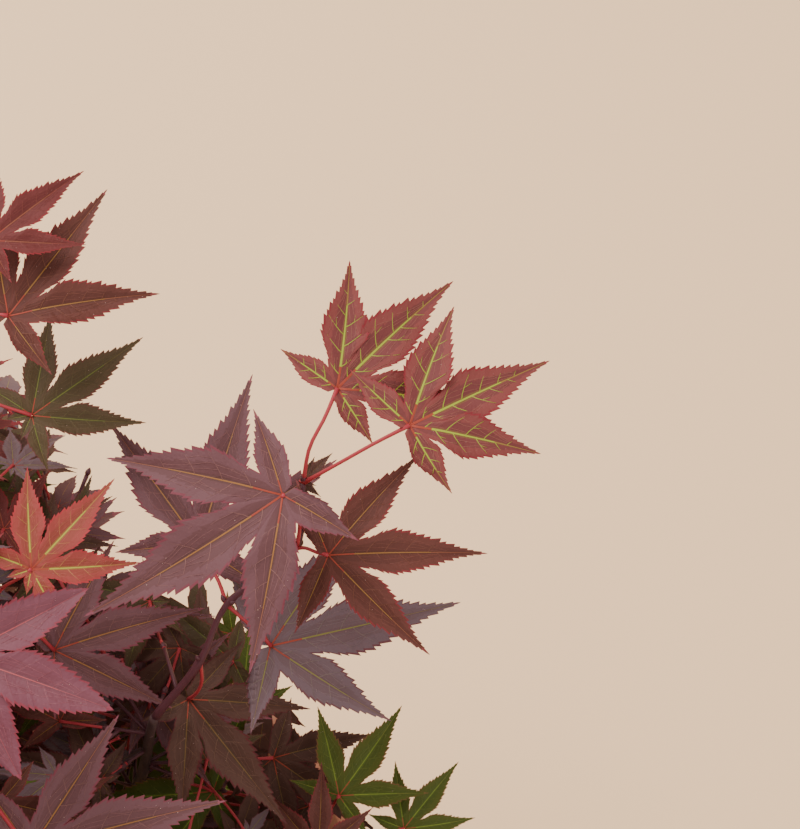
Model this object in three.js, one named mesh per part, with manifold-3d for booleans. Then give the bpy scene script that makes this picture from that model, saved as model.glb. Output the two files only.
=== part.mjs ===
// A small potted Japanese maple with dark red leaves, in a plain clay pot.
// Sizes are millimetres, +Z is up, and the origin is the middle of the pot's underside.
import * as THREE from 'three';
import { mergeVertices } from 'three/addons/utils/BufferGeometryUtils.js';
import Module from 'manifold-3d';

const wasm = await Module();
wasm.setup();

const DEGREE = Math.PI / 180;
const CLEARANCE = 0.3; // left between two solids that touch
const CUT_GAP = 0.35; // added to a limb's radius where it cuts another, as its sides are flat

// The pot and what fills it
const POT_HEIGHT = 165;
const POT_SIDES = 30;
const RIM_RADIUS = 112;
const RIM_HEIGHT = 26;
const RIM_PROUD = 5; // how far the rim band stands out of the wall
const FOOT_RADIUS = 80;
const WALL = 7;
const POT_FLOOR = 9;
const EDGE_CUT = 2; // the small slope on each edge of the pot
const DRAINS = 3;
const DRAIN_RADIUS = 6;
const DRAIN_CIRCLE = 40;
const SOIL_BELOW_RIM = 20;
const SOIL_DOME = 8; // how much lower the soil lies at the wall
const SOIL_TOP = POT_HEIGHT - SOIL_BELOW_RIM;
const SEAT_RADIUS = 30; // the level patch that the trunk stands on

// The trunk, from its cut at soil level to its fork
const TRUNK_SIDES = 10;
const TRUNK_RISE = 78;
const TRUNK_FOOT = [4, 3];
const TRUNK_LEAN = [-15, -13]; // how far the fork lies beside the foot
const TRUNK_BEND = [7, -2]; // the bow between them
const TRUNK_RADIUS = 8.6;
const FORK_RADIUS = 6.4;
const FLARE = 6.4; // added to the radius at the soil by the spread of the roots
const FLARE_RISE = 9; // the height over which the flare fades
const ROOT_RIDGES = 5;

// The crown, an ellipsoid round this centre, and how far the limbs reach into it
const CROWN_CENTRE = new THREE.Vector3(-24, -24, SOIL_TOP + 207);
const CROWN_REACH = new THREE.Vector3(206, 206, 164);
const MAIN_BOUGHS = 5;
const FIRST_HEADING = 28; // degrees round from +X
const MAIN_RISE = 24; // degrees above level, seen from the crown's centre
const MAIN_DEPTH = 0.43; // of the crown's reach, where the bough enters its mass
const LOW_SPREAD = 21; // degrees to each side of the main bough
const LOW_RISE = -15;
const LOW_DEPTH = 0.44;
const LOW_START = 0.36; // of the way along the main bough
const OPEN_SIDE = 'bough_1_low_left'; // no bough grows under the first proud shoot
const LEADER_TIP = [14, -2, 72]; // from the crown's centre
// The other boughs of the leader: place along it, then heading, rise and depth of the tip
const LEADER_BOUGHS = [
  ['left', 0.56, 196, 46, 0.42],
  ['front', 0.5, 262, 44, 0.42],
  ['inner', 0.42, 336, 18, 0.26],
  ['deep', 0.36, 76, 4, 0.22],
];
const BOUGH_SIDES = 5;
const BOUGH_STEPS = 4;
const MAIN_RADII = [4.3, 2.2];
const LEADER_RADII = [4.9, 2.4];
const SIDE_RADII = [2.9, 2.1];

// Twigs and leaves
const TWIG_RADII = [2.0, 1.3];
const SIDE_TWIG_RADII = [0.9, 0.9];
const TWIG_NODES = 4;
const BUD_LENGTH = 3; // the twig's end beyond its last pair of leaves
const SIDE_TWIG_AHEAD = 2.5; // from the leaves whose twig it is
const PETIOLE_RADIUS = 0.6;
const PETIOLE_LENGTH = [20, 38];
const NODE_STEP = 25; // between two pairs of leaves
const LEAF_LENGTH = [43, 58]; // of the middle lobe
const LEAF_HALF_THICK = 0.9; // at the base of the lobes
const LEAF_DROOP = 0.16;
const LEAF_FOLD = 0.05;
const LEAF_GAP = 2.0; // between the sheets of two leaves
const LIMB_GAP = 1.3; // between a leaf and a limb
const LEAF_SWING = 1.8; // how far a petiole can turn about its twig, in radians
const LEAVES_PER_MASS = 13;
const TRIES = 18;
const TWIG_TRIES = 12;
const TWIG_GAP = 2; // between the twigs of two masses
const FIRST_STEP = 16; // from the bough's tip to the first pair of leaves
const SHRINK_PER_TRY = 0.03;
const ROD_SHARES = [0, 0.2, 0.4, 0.6, 0.8, 1]; // where a limb is tested against a leaf

// The lobes of a leaf: degrees from the middle lobe, and length as a share of it
const SIDE_LOBE = { turn: 46, length: 0.82 };
const BASE_LOBE = { turn: 108, length: 0.46 };
const SHOULDER_AT = 0.44; // where a lobe is widest
const SHOULDER_WIDTH = 0.145;
const NOTCH_DEPTH = 0.2;
const PLAIN_NOTCH_DEPTH = 0.3;
const BACK_DEPTH = 0.05;

// Some shoots stand proud of the crown. Their places are given as they look from a point above
// the plant: across, up and near, in millimetres at the distance of the first shoot.
const VIEW_RISE = 60 * DEGREE;
const VIEW_DISTANCE = 520;
const VIEW_MIDDLE = CROWN_CENTRE.clone().add(new THREE.Vector3(150, 90, 130));
const ACROSS = new THREE.Vector3(1, 0, 0);
const UP = new THREE.Vector3(0, Math.sin(VIEW_RISE), Math.cos(VIEW_RISE));
const NEAR = new THREE.Vector3(0, -Math.cos(VIEW_RISE), Math.sin(VIEW_RISE));
const VIEW_LEFT = -120;
const VIEW_FOOT = -124.5;
const Z = new THREE.Vector3(0, 0, 1);

// Each proud shoot: the bough that carries it, its twig, and its leaves. A leaf has the number of
// its node, then across, up and near of its base, the turn of its middle lobe, and that length.
const PROUD_SHOOTS = [
  {
    bough: 'bough_1',
    twig: [[-60, -74, -18], [-52, -57, -13], [-31, -40, -6], [-29, -20.5, 0]],
    leaves: [
      [3, -18.8, 7.8, 3, 46, 50],
      [3, 2.9, -3.3, 10, 26, 49.5],
      [2, -35.2, -24.2, 14, 214, 69],
      [2, -21.5, -42.2, -1, 3, 48],
      [1, -38.8, -69.4, -22, 12, 59],
      [1, -60, -39.3, -22, 76, 58],
      [0, -63.4, -85.4, -38, -49, 47.5],
    ],
  },
  {
    bough: 'leader_back',
    twig: [[-142, -20, -30], [-138, 8, -16], [-136, 34, -6], [-136, 56, 2]],
    leaves: [
      [2, -117.5, 29.5, 2, 55, 50],
      [3, -123, 52.2, 4, 42, 35],
      [1, -110.4, -0.3, -14, 36, 41],
      [3, -146, 76, 0, 112, 44],
      [2, -166, 44, -2, 160, 46],
      [1, -170, 4, -18, 190, 48],
    ],
  },
  {
    bough: 'leader_right',
    twig: [[-129, -66, -32], [-124, -58, -16], [-121, -54, -2]],
    leaves: [
      [2, -110.5, -46.5, 10, 48, 39],
      [2, -134, -48, 14, 150, 44],
      [1, -103.7, -70.7, -34, 18, 47],
    ],
  },
  {
    bough: 'leader',
    twig: [[-146, -86, 6], [-145, -86, 24], [-145, -85, 40]],
    leaves: [
      [2, -132, -72.3, 52, -17, 52],
      [2, -158, -74, 54, 118, 50],
      [1, -111, -130.8, 30, 15, 58],
      [1, -172, -104, 34, 205, 54],
    ],
  },
  {
    bough: 'bough_1_low_right',
    twig: [[-36, -131, -72], [-26, -128, -66], [-18, -128, -62]],
    leaves: [
      [1, -18.3, -114.3, -52, 52, 34],
      [2, 1.2, -124.2, -56, 50, 26],
      [1, -24.6, -131, -42, 86, 27],
      [2, 0, -146, -60, -20, 44],
    ],
  },
];

// The crown's edge beside the proud shoots, as across and up. Other leaves stay below it.
const CROWN_EDGE = [
  [-120, 22], [-99, -4], [-83, -24], [-70, -58],
  [-49, -77], [-34, -98], [-22, -114], [10, -124.5],
];

const POT_COLOUR = 0xa9694b;
const MOSS_COLOUR = 0x5c6a2a;
const TRUNK_COLOUR = 0x5e5048;
const BOUGH_COLOUR = 0x5a4140;
const LEAF_COLOURS = [0x4a2a30, 0x5a2c33, 0x65303a, 0x3d2529, 0x6e3840, 0x47402a];

function material(colour, roughness) {
  return new THREE.MeshStandardMaterial({ color: colour, roughness, metalness: 0, flatShading: true });
}

// One even number from 0 to 1 that depends only on the keys, which are whole numbers.
function chance(...keys) {
  let mixed = 0x9e3779b9;
  for (const key of keys) {
    mixed = Math.imul(mixed ^ key, 0x85ebca6b);
    mixed ^= mixed >>> 15;
    mixed = Math.imul(mixed, 0xc2b2ae35);
    mixed ^= mixed >>> 13;
  }
  return (mixed >>> 0) / 0x100000000;
}

function between([low, high], share) {
  return low + (high - low) * share;
}

// The place that looks as if it were across and up from the middle of the view.
function seen(across, up, near) {
  const shrink = 1 - near / VIEW_DISTANCE;
  return VIEW_MIDDLE.clone()
    .addScaledVector(ACROSS, across * shrink)
    .addScaledVector(UP, up * shrink)
    .addScaledVector(NEAR, near);
}

// Where a place looks to be, the other way round
function asSeen(place) {
  const away = place.clone().sub(VIEW_MIDDLE);
  const near = away.dot(NEAR);
  const shrink = 1 - near / VIEW_DISTANCE;
  return { across: away.dot(ACROSS) / shrink, up: away.dot(UP) / shrink, near };
}

function crownPoint(heading, rise, depth) {
  return new THREE.Vector3(
    Math.cos(heading * DEGREE) * Math.cos(rise * DEGREE),
    Math.sin(heading * DEGREE) * Math.cos(rise * DEGREE),
    Math.sin(rise * DEGREE),
  ).multiply(CROWN_REACH).multiplyScalar(depth).add(CROWN_CENTRE);
}

// Solids from closed triangle meshes, and meshes from solids
function solidOf(geometry) {
  const bare = geometry.clone();
  bare.deleteAttribute('normal');
  bare.deleteAttribute('uv');
  const merged = mergeVertices(bare, 1e-5);
  return new wasm.Manifold(new wasm.Mesh({
    numProp: 3,
    vertProperties: new Float32Array(merged.attributes.position.array),
    triVerts: new Uint32Array(merged.index.array),
  }));
}

function solidOfPoints(points, triangles) {
  return new wasm.Manifold(new wasm.Mesh({
    numProp: 3,
    vertProperties: new Float32Array(points.flatMap((point) => point.toArray())),
    triVerts: new Uint32Array(triangles.flat()),
  }));
}

function biggestBody(solid) {
  return solid.decompose().reduce((most, body) => (body.volume() > most.volume() ? body : most));
}

function meshOf(name, solid, finish) {
  const { vertProperties, triVerts } = solid.getMesh();
  const geometry = new THREE.BufferGeometry();
  geometry.setAttribute('position', new THREE.BufferAttribute(new Float32Array(vertProperties), 3));
  geometry.setIndex(new THREE.BufferAttribute(new Uint32Array(triVerts), 1));
  geometry.computeVertexNormals();
  const mesh = new THREE.Mesh(geometry, finish);
  mesh.name = name;
  return mesh;
}

// A closed limb along a curve. radiusAt takes the share of the way and the turn round the limb.
function limbSolid(curve, radiusAt, sides, steps) {
  const frames = curve.computeFrenetFrames(steps, false);
  const points = [];
  const triangles = [];
  for (let step = 0; step <= steps; step += 1) {
    const share = step / steps;
    const middle = curve.getPointAt(share);
    for (let side = 0; side < sides; side += 1) {
      const turn = (side / sides) * Math.PI * 2;
      const radius = radiusAt(share, turn);
      points.push(middle.clone()
        .addScaledVector(frames.normals[step], Math.cos(turn) * radius)
        .addScaledVector(frames.binormals[step], Math.sin(turn) * radius));
    }
  }
  for (let step = 0; step < steps; step += 1) {
    for (let side = 0; side < sides; side += 1) {
      const here = step * sides + side;
      const beside = step * sides + ((side + 1) % sides);
      triangles.push([here, beside, beside + sides], [here, beside + sides, here + sides]);
    }
  }
  const last = steps * sides;
  for (let side = 1; side < sides - 1; side += 1) {
    triangles.push([0, side + 1, side], [last, last + side, last + side + 1]);
  }
  return solidOfPoints(points, triangles);
}

// The three corners of a twig's section at each of its points. The first section can be turned to
// face the limb that the twig grows on from.
function twigRings(points, radii, firstWay) {
  const last = points.length - 1;
  let side = null;
  return points.map((middle, index) => {
    const before = points[Math.max(index - 1, 0)];
    const after = points[Math.min(index + 1, last)];
    const way = index === 0 && firstWay ? firstWay : after.clone().sub(before).normalize();
    if (!side) side = new THREE.Vector3().crossVectors(way, Math.abs(way.z) < 0.9 ? Z : ACROSS);
    side.addScaledVector(way, -side.dot(way)).normalize();
    const over = new THREE.Vector3().crossVectors(way, side);
    const radius = between(radii, index / last);
    return [90, 210, 330].map((turn) => middle.clone()
      .addScaledVector(side, Math.cos(turn * DEGREE) * radius)
      .addScaledVector(over, Math.sin(turn * DEGREE) * radius));
  });
}

function ringWalls(from, to) {
  return [0, 1, 2].flatMap((corner) => {
    const next = (corner + 1) % 3;
    return [[from[corner], from[next], to[next]], [from[corner], to[next], to[corner]]];
  });
}

function twigSolid(points, radii, firstWay) {
  const rings = twigRings(points, radii, firstWay);
  const corners = rings.map((_, index) => [3 * index, 3 * index + 1, 3 * index + 2]);
  const triangles = [[0, 2, 1], corners.at(-1)];
  for (let index = 1; index < rings.length; index += 1) {
    triangles.push(...ringWalls(corners[index - 1], corners[index]));
  }
  return solidOfPoints(rings.flat(), triangles);
}

// The outline of a leaf in shares of its middle lobe: turn, radius and lift of each point. A plain
// outline leaves out the widest points of the lobes and has wider notches instead.
function leafOutline(notchDepth, isPlain) {
  const widest = [Math.atan2(SHOULDER_WIDTH, SHOULDER_AT) / DEGREE, Math.hypot(SHOULDER_AT, SHOULDER_WIDTH)];
  const lobe = ({ turn, length }) => [
    [turn - widest[0], widest[1] * length, LEAF_FOLD],
    [turn, length, 0],
    [turn + widest[0], widest[1] * length, LEAF_FOLD],
  ];
  const sides = [
    lobe({ turn: 0, length: 1 })[2],
    [SIDE_LOBE.turn / 2, notchDepth, 0],
    ...lobe(SIDE_LOBE),
    [(SIDE_LOBE.turn + BASE_LOBE.turn) / 2 + 4, notchDepth * 0.85, 0],
    [BASE_LOBE.turn, BASE_LOBE.length, 0],
  ];
  const half = isPlain ? sides.filter(([, , lift]) => lift === 0) : sides;
  const other = half.map(([turn, radius, lift]) => [-turn, radius, lift]).reverse();
  return [[0, 1, 0], ...half, [180, BACK_DEPTH, 0], ...other].map(([turn, radius, lift]) => ({
    forward: Math.cos(turn * DEGREE) * radius,
    aside: Math.sin(turn * DEGREE) * radius,
    lift: lift - LEAF_DROOP * radius * radius,
  }));
}

const FULL_OUTLINE = leafOutline(NOTCH_DEPTH, false);
const PLAIN_OUTLINE = leafOutline(PLAIN_NOTCH_DEPTH, true);

// A leaf from the place of its base, its upward side and the way its middle lobe points
function layLeaf(base, normal, heading, length, node) {
  const up = normal.clone().normalize();
  const forward = heading.clone().addScaledVector(up, -heading.dot(up)).normalize();
  const aside = new THREE.Vector3().crossVectors(up, forward);
  const trace = (outline) => outline.map((point) => base.clone()
    .addScaledVector(forward, point.forward * length)
    .addScaledVector(aside, point.aside * length)
    .addScaledVector(up, point.lift * length));
  return {
    base, up, forward, aside, length, node,
    rim: trace(FULL_OUTLINE),
    star: trace(PLAIN_OUTLINE),
    middle: base.clone().addScaledVector(forward, length * 0.3),
    reach: length * 0.86,
    isProud: false,
  };
}

// A leaf with its petiole: a thin star with a top and an underside, whose petiole grows out of
// its back, above or below the blade. A petiole that passes under the lobes is fused on instead.
function leafSolid(leaf) {
  const { base, up, forward, aside, node } = leaf;
  const rim = leaf.isProud ? leaf.rim : leaf.star;
  const notch = rim.length / 2;
  const around = [
    ...rim.slice(0, notch),
    rim[notch].clone().addScaledVector(aside, PETIOLE_RADIUS),
    rim[notch].clone().addScaledVector(aside, -PETIOLE_RADIUS),
    ...rim.slice(notch + 1),
  ];
  const count = around.length;
  const top = count;
  const under = count + 1;
  const points = [
    ...around,
    base.clone().addScaledVector(up, LEAF_HALF_THICK),
    base.clone().addScaledVector(up, -LEAF_HALF_THICK),
  ];
  const toNode = node.clone().sub(base).normalize();
  const isBelow = toNode.dot(up) < 0;
  const isBehind = toNode.dot(forward) < -0.25;
  const triangles = around.flatMap((_, index) => {
    const next = (index + 1) % count;
    const faces = [[top, index, next], [under, next, index]];
    if (index === notch && isBehind) faces.splice(isBelow ? 1 : 0, 1);
    return faces;
  });
  if (!isBehind) {
    const end = base.clone().addScaledVector(up, isBelow ? -0.2 : 0.2);
    return [solidOfPoints(points, triangles), twigSolid([node, end], [PETIOLE_RADIUS, PETIOLE_RADIUS])];
  }
  const open = isBelow ? [under, notch + 1, notch] : [top, notch, notch + 1];
  const corners = open.map((index) => points[index]);
  const middle = corners[0].clone().add(corners[1]).add(corners[2]).divideScalar(3);
  const far = corners.map((corner) => {
    const spoke = corner.clone().sub(middle);
    spoke.addScaledVector(toNode, -spoke.dot(toNode)).setLength(PETIOLE_RADIUS);
    return points.push(node.clone().add(spoke)) - 1;
  });
  triangles.push(...ringWalls(open, far), far);
  return [solidOfPoints(points, triangles)];
}

// Whether the stretch from one point to another goes through a triangle
function goesThrough(from, to, a, b, c) {
  const way = to.clone().sub(from);
  const ab = b.clone().sub(a);
  const ac = c.clone().sub(a);
  const across = new THREE.Vector3().crossVectors(way, ac);
  const size = ab.dot(across);
  if (Math.abs(size) < 1e-9) return false;
  const start = from.clone().sub(a);
  const first = start.dot(across) / size;
  if (first < 0 || first > 1) return false;
  const other = new THREE.Vector3().crossVectors(start, ab);
  const second = way.dot(other) / size;
  if (second < 0 || first + second > 1) return false;
  const share = ac.dot(other) / size;
  return share >= 0 && share <= 1;
}

function isOver(place, leaf, gap) {
  const low = place.clone().addScaledVector(leaf.up, -gap);
  const high = place.clone().addScaledVector(leaf.up, gap);
  return pierces(low, high, leaf);
}

function pierces(from, to, leaf) {
  return leaf.rim.some((point, index) => {
    const next = leaf.rim[(index + 1) % leaf.rim.length];
    return goesThrough(from, to, leaf.base, point, next);
  });
}

function leavesMeet(one, other, gap) {
  if (one.middle.distanceTo(other.middle) > one.reach + other.reach + gap) return false;
  for (const [rimmed, sheet] of [[one, other], [other, one]]) {
    const { rim, base } = rimmed;
    for (let index = 0; index < rim.length; index += 1) {
      const next = rim[(index + 1) % rim.length];
      if (pierces(rim[index], next, sheet)) return true;
      if (isOver(rim[index], sheet, gap)) return true;
      const inner = base.clone().lerp(rim[index], 0.6);
      if (isOver(inner, sheet, gap)) return true;
    }
    if (isOver(base, sheet, gap)) return true;
  }
  return false;
}

// The shortest distance between two straight stretches
function stretchGap(a, b, c, d) {
  const first = b.clone().sub(a);
  const second = d.clone().sub(c);
  const start = a.clone().sub(c);
  const aa = first.dot(first);
  const bb = second.dot(second);
  const ab = first.dot(second);
  const as = first.dot(start);
  const bs = second.dot(start);
  const size = aa * bb - ab * ab;
  let share = size > 1e-9 ? THREE.MathUtils.clamp((ab * bs - as * bb) / size, 0, 1) : 0;
  const other = THREE.MathUtils.clamp((ab * share + bs) / bb, 0, 1);
  share = THREE.MathUtils.clamp((ab * other - as) / aa, 0, 1);
  return a.clone().addScaledVector(first, share).distanceTo(c.clone().addScaledVector(second, other));
}

function leafMeetsRod(leaf, rod, gap) {
  const reach = rod.radius + gap;
  if (stretchGap(rod.from, rod.to, leaf.middle, leaf.base) > leaf.reach + reach) return false;
  if (pierces(rod.from, rod.to, leaf)) return true;
  if (ROD_SHARES.some((share) => isOver(rod.from.clone().lerp(rod.to, share), leaf, reach))) return true;
  return leaf.rim.some((point, index) => {
    const next = leaf.rim[(index + 1) % leaf.rim.length];
    return stretchGap(rod.from, rod.to, point, next) < reach
      || stretchGap(rod.from, rod.to, leaf.base, point) < reach;
  });
}

// Limbs: the trunk, the boughs that fork from it, and what they carry
function curveThrough(points) {
  return new THREE.CatmullRomCurve3(points, false, 'centripetal');
}

function trunkCurve() {
  const foot = new THREE.Vector3(...TRUNK_FOOT, SOIL_TOP + CLEARANCE);
  const points = [0, 0.12, 0.5, 1].map((share) => {
    const bow = Math.sin(share * Math.PI);
    return foot.clone().add(new THREE.Vector3(
      TRUNK_LEAN[0] * share * share + TRUNK_BEND[0] * bow,
      TRUNK_LEAN[1] * share * share + TRUNK_BEND[1] * bow,
      TRUNK_RISE * share,
    ));
  });
  points[1].setX(points[0].x).setY(points[0].y);
  return curveThrough(points);
}

function trunkRadius(share, turn) {
  const taper = between([TRUNK_RADIUS, FORK_RADIUS], share);
  const fade = Math.exp((-share * TRUNK_RISE) / FLARE_RISE);
  return taper + FLARE * fade * (1 + 0.3 * Math.cos(ROOT_RIDGES * turn));
}

function boughCurve(start, away, tip, lift) {
  const span = start.distanceTo(tip);
  const first = start.clone().addScaledVector(away, span * 0.3);
  const second = tip.clone().lerp(start, 0.36).addScaledVector(Z, -span * lift);
  return curveThrough([start, first, second, tip]);
}

function growLimbs() {
  const trunk = { name: 'trunk', curve: trunkCurve(), sides: TRUNK_SIDES, steps: 11, radiusAt: trunkRadius };
  const limbs = [trunk];
  const byName = { trunk };
  const add = (name, parent, at, tip, radii, lift) => {
    const along = byName[parent].curve.getTangentAt(at);
    const start = byName[parent].curve.getPointAt(at).addScaledVector(along, at === 1 ? CLEARANCE : 0);
    const away = tip.clone().sub(start).normalize().add(along).normalize();
    const curve = boughCurve(start, away, tip, lift);
    const radiusAt = (share) => between(radii, share);
    byName[name] = { name, parent, curve, sides: BOUGH_SIDES, steps: BOUGH_STEPS, radiusAt };
    limbs.push(byName[name]);
  };
  const proudStart = (bough) => {
    const { twig } = PROUD_SHOOTS.find((shoot) => shoot.bough === bough);
    return twig.slice(0, 2).map((place) => seen(...place));
  };
  const tipBefore = (bough, back) => {
    const [first, second] = proudStart(bough);
    const inward = CROWN_CENTRE.clone().sub(first).normalize();
    return first.clone().addScaledVector(first.clone().sub(second).normalize().add(inward).normalize(), back);
  };

  const leaderTip = CROWN_CENTRE.clone().add(new THREE.Vector3(...LEADER_TIP));
  add('leader', 'trunk', 1, leaderTip, LEADER_RADII, 0);
  for (let number = 1; number <= MAIN_BOUGHS; number += 1) {
    const heading = FIRST_HEADING + ((number - 1) * 360) / MAIN_BOUGHS;
    const name = `bough_${number}`;
    const tip = number === 1 ? tipBefore(name, 26) : crownPoint(heading, MAIN_RISE, MAIN_DEPTH);
    add(name, 'trunk', 0.97 - 0.055 * number, tip, MAIN_RADII, 0.06);
    for (const [side, spread] of [['right', -LOW_SPREAD], ['left', LOW_SPREAD]]) {
      const low = `${name}_low_${side}`;
      if (low === OPEN_SIDE) continue;
      const isProud = PROUD_SHOOTS.some((shoot) => shoot.bough === low);
      const lowTip = isProud ? tipBefore(low, 22) : crownPoint(heading + spread, LOW_RISE, LOW_DEPTH);
      add(low, name, LOW_START + (side === 'left' ? 0.1 : 0), lowTip, SIDE_RADII, 0.08);
    }
  }
  add('leader_back', 'leader', 0.62, tipBefore('leader_back', 24), SIDE_RADII, 0.02);
  add('leader_right', 'leader', 0.74, tipBefore('leader_right', 10), SIDE_RADII, 0);
  for (const [side, at, heading, rise, depth] of LEADER_BOUGHS) {
    add(`leader_${side}`, 'leader', at, crownPoint(heading, rise, depth), SIDE_RADII, 0.04);
  }
  return limbs;
}

function limbRods(limb) {
  const count = limb.steps * 2;
  return Array.from({ length: count }, (_, index) => ({
    from: limb.curve.getPointAt(index / count),
    to: limb.curve.getPointAt((index + 1) / count),
    radius: limb.radiusAt(index / count, 0),
    owner: limb.name,
  }));
}

// Foliage: a twig from the bough's tip, pairs of leaves at its nodes, and side twigs
function boughEnd(bough) {
  const way = bough.curve.getTangentAt(1).normalize();
  return { place: bough.curve.getPointAt(1).addScaledVector(way, CLEARANCE), way };
}

function proudTwig(bough, shoot) {
  const { place } = boughEnd(bough);
  return [place, ...shoot.twig.map((point) => seen(...point))];
}

// The points of a twig that grows outward from its bough, as far as nothing is in its way
function ruleTwig(bough, owner, seed, attempt) {
  const { place, way } = boughEnd(bough);
  const outward = place.clone().sub(CROWN_CENTRE).normalize();
  const points = [place];
  const heading = way.clone().add(outward).normalize();
  for (let node = 1; node <= TWIG_NODES; node += 1) {
    const roll = (number) => chance(seed, attempt, node, number);
    const swing = new THREE.Vector3(roll(1) - 0.5, roll(2) - 0.5, roll(3) - 0.5);
    heading.addScaledVector(outward, 0.35).addScaledVector(swing, 0.6).normalize();
    const step = (node === 1 ? FIRST_STEP : NODE_STEP) * (0.85 + 0.3 * roll(4));
    const next = points[node - 1].clone().addScaledVector(heading, step);
    const rod = { from: points[node - 1], to: next, radius: TWIG_RADII[0], owner };
    if (node > 1 && (!isInCrown(next) || spoilsView(next) || !isRodClear(rod))) break;
    points.push(next);
  }
  return points;
}

function longestTwig(bough, owner, seed) {
  const twigs = Array.from({ length: TWIG_TRIES }, (_, attempt) => ruleTwig(bough, owner, seed, attempt));
  return twigs.reduce((best, twig) => (twig.length > best.length ? twig : best));
}

const placed = []; // every leaf so far
const rods = []; // every limb, twig and petiole so far

function isInCrown(place) {
  const away = place.clone().sub(CROWN_CENTRE).divide(CROWN_REACH);
  return away.length() < 1 && place.z > POT_HEIGHT + 14;
}

// Whether a point of another leaf would stand over the edge of the crown or before a proud leaf
function spoilsView(place) {
  const { across, up, near } = asSeen(place);
  if (across < VIEW_LEFT - 6 || up < VIEW_FOOT - 6) return false;
  for (let index = 1; index < CROWN_EDGE.length; index += 1) {
    const [left, high] = CROWN_EDGE[index - 1];
    const [right, low] = CROWN_EDGE[index];
    if (across >= right && index < CROWN_EDGE.length - 1) continue;
    const edge = high + ((low - high) * (across - left)) / (right - left);
    if (up > edge) return true;
    break;
  }
  return placed.some((leaf) => {
    if (!leaf.isProud) return false;
    const proud = asSeen(leaf.middle);
    return near > proud.near - 4 && Math.hypot(across - proud.across, up - proud.up) < leaf.length * 0.72;
  });
}

function isClear(leaf, owner) {
  const petiole = { from: leaf.node, to: leaf.base, radius: PETIOLE_RADIUS, owner };
  if (placed.some((other) => leavesMeet(leaf, other, LEAF_GAP))) return false;
  if (rods.some((rod) => leafMeetsRod(leaf, rod, LIMB_GAP))) return false;
  if (placed.some((other) => leafMeetsRod(other, petiole, LIMB_GAP))) return false;
  return !rods.some((rod) => rod.owner !== owner
    && stretchGap(rod.from, rod.to, petiole.from, petiole.to) < rod.radius + PETIOLE_RADIUS + CLEARANCE);
}

// Whether a twig keeps clear of the leaves and of what other limbs carry
function isRodClear(rod) {
  if (placed.some((leaf) => leafMeetsRod(leaf, rod, LIMB_GAP))) return false;
  return !rods.some((other) => other.owner !== rod.owner
    && stretchGap(other.from, other.to, rod.from, rod.to) < other.radius + rod.radius + TWIG_GAP);
}

function keep(leaf, owner) {
  placed.push(leaf);
  rods.push({ from: leaf.node, to: leaf.base.clone().lerp(leaf.node, 0.1), radius: PETIOLE_RADIUS, owner });
}

// One leaf of a pair, on the side of the twig that lateral points to, or null where it has no room
function ruleLeaf(owner, node, way, lateral, keys) {
  const outward = node.clone().sub(CROWN_CENTRE).normalize();
  for (let attempt = 0; attempt < TRIES; attempt += 1) {
    const roll = (number) => chance(...keys, attempt, number);
    const reach = lateral.clone().multiplyScalar(0.9)
      .addScaledVector(way, 0.35 + 0.5 * roll(1))
      .addScaledVector(outward, 0.25)
      .addScaledVector(Z, 0.1 + 0.35 * roll(2))
      .applyAxisAngle(way, (roll(3) - 0.5) * LEAF_SWING)
      .normalize();
    const petiole = between(PETIOLE_LENGTH, roll(4));
    const length = between(LEAF_LENGTH, roll(5)) * (1 - SHRINK_PER_TRY * attempt);
    const normal = Z.clone()
      .addScaledVector(outward, 0.3)
      .add(new THREE.Vector3(roll(6) - 0.5, roll(7) - 0.5, 0).multiplyScalar(0.7));
    const base = node.clone().addScaledVector(reach, petiole);
    const level = reach.clone().setZ(reach.z * 0.3);
    const leaf = layLeaf(base, normal, level, length, node);
    if (!leaf.rim.every(isInCrown)) continue;
    if (leaf.rim.some(spoilsView) || spoilsView(base)) continue;
    if (isClear(leaf, owner)) return leaf;
  }
  return null;
}

function proudLeaf([node, across, up, near, turn, length], points) {
  const base = seen(across, up, near);
  const shrink = 1 - near / VIEW_DISTANCE;
  const normal = NEAR.clone().add(Z)
    .addScaledVector(ACROSS, 0.16 * Math.sin(turn * 3))
    .normalize();
  const flat = ACROSS.clone().multiplyScalar(Math.cos(turn * DEGREE))
    .addScaledVector(UP, Math.sin(turn * DEGREE));
  const heading = flat.clone().addScaledVector(NEAR, -flat.dot(normal) / NEAR.dot(normal));
  const leaf = layLeaf(base, normal, heading, length * shrink, points[node + 1]);
  leaf.isProud = true;
  return leaf;
}

function growMass(bough, seed) {
  const owner = `foliage_${bough.name}`;
  const shoot = PROUD_SHOOTS.find((one) => one.bough === bough.name);
  const points = shoot ? proudTwig(bough, shoot) : longestTwig(bough, owner, seed);
  const twigs = [{ points, radii: TWIG_RADII, firstWay: boughEnd(bough).way, hasLeaves: true }];
  const mass = { owner, seed, shoot, twigs, leaves: [] };
  for (let index = 1; index < points.length; index += 1) {
    rods.push({ from: points[index - 1], to: points[index], radius: TWIG_RADII[0], owner });
  }
  for (const row of shoot ? shoot.leaves : []) {
    const leaf = proudLeaf(row, points);
    mass.leaves.push(leaf);
    keep(leaf, owner);
  }
  return mass;
}

// The side of the twig that each pair of leaves takes: level at one node, upright at the next
function pairSide(way, node) {
  const level = new THREE.Vector3().crossVectors(Z, way).normalize();
  return node % 2 === 0 ? level : new THREE.Vector3().crossVectors(way, level);
}

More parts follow.
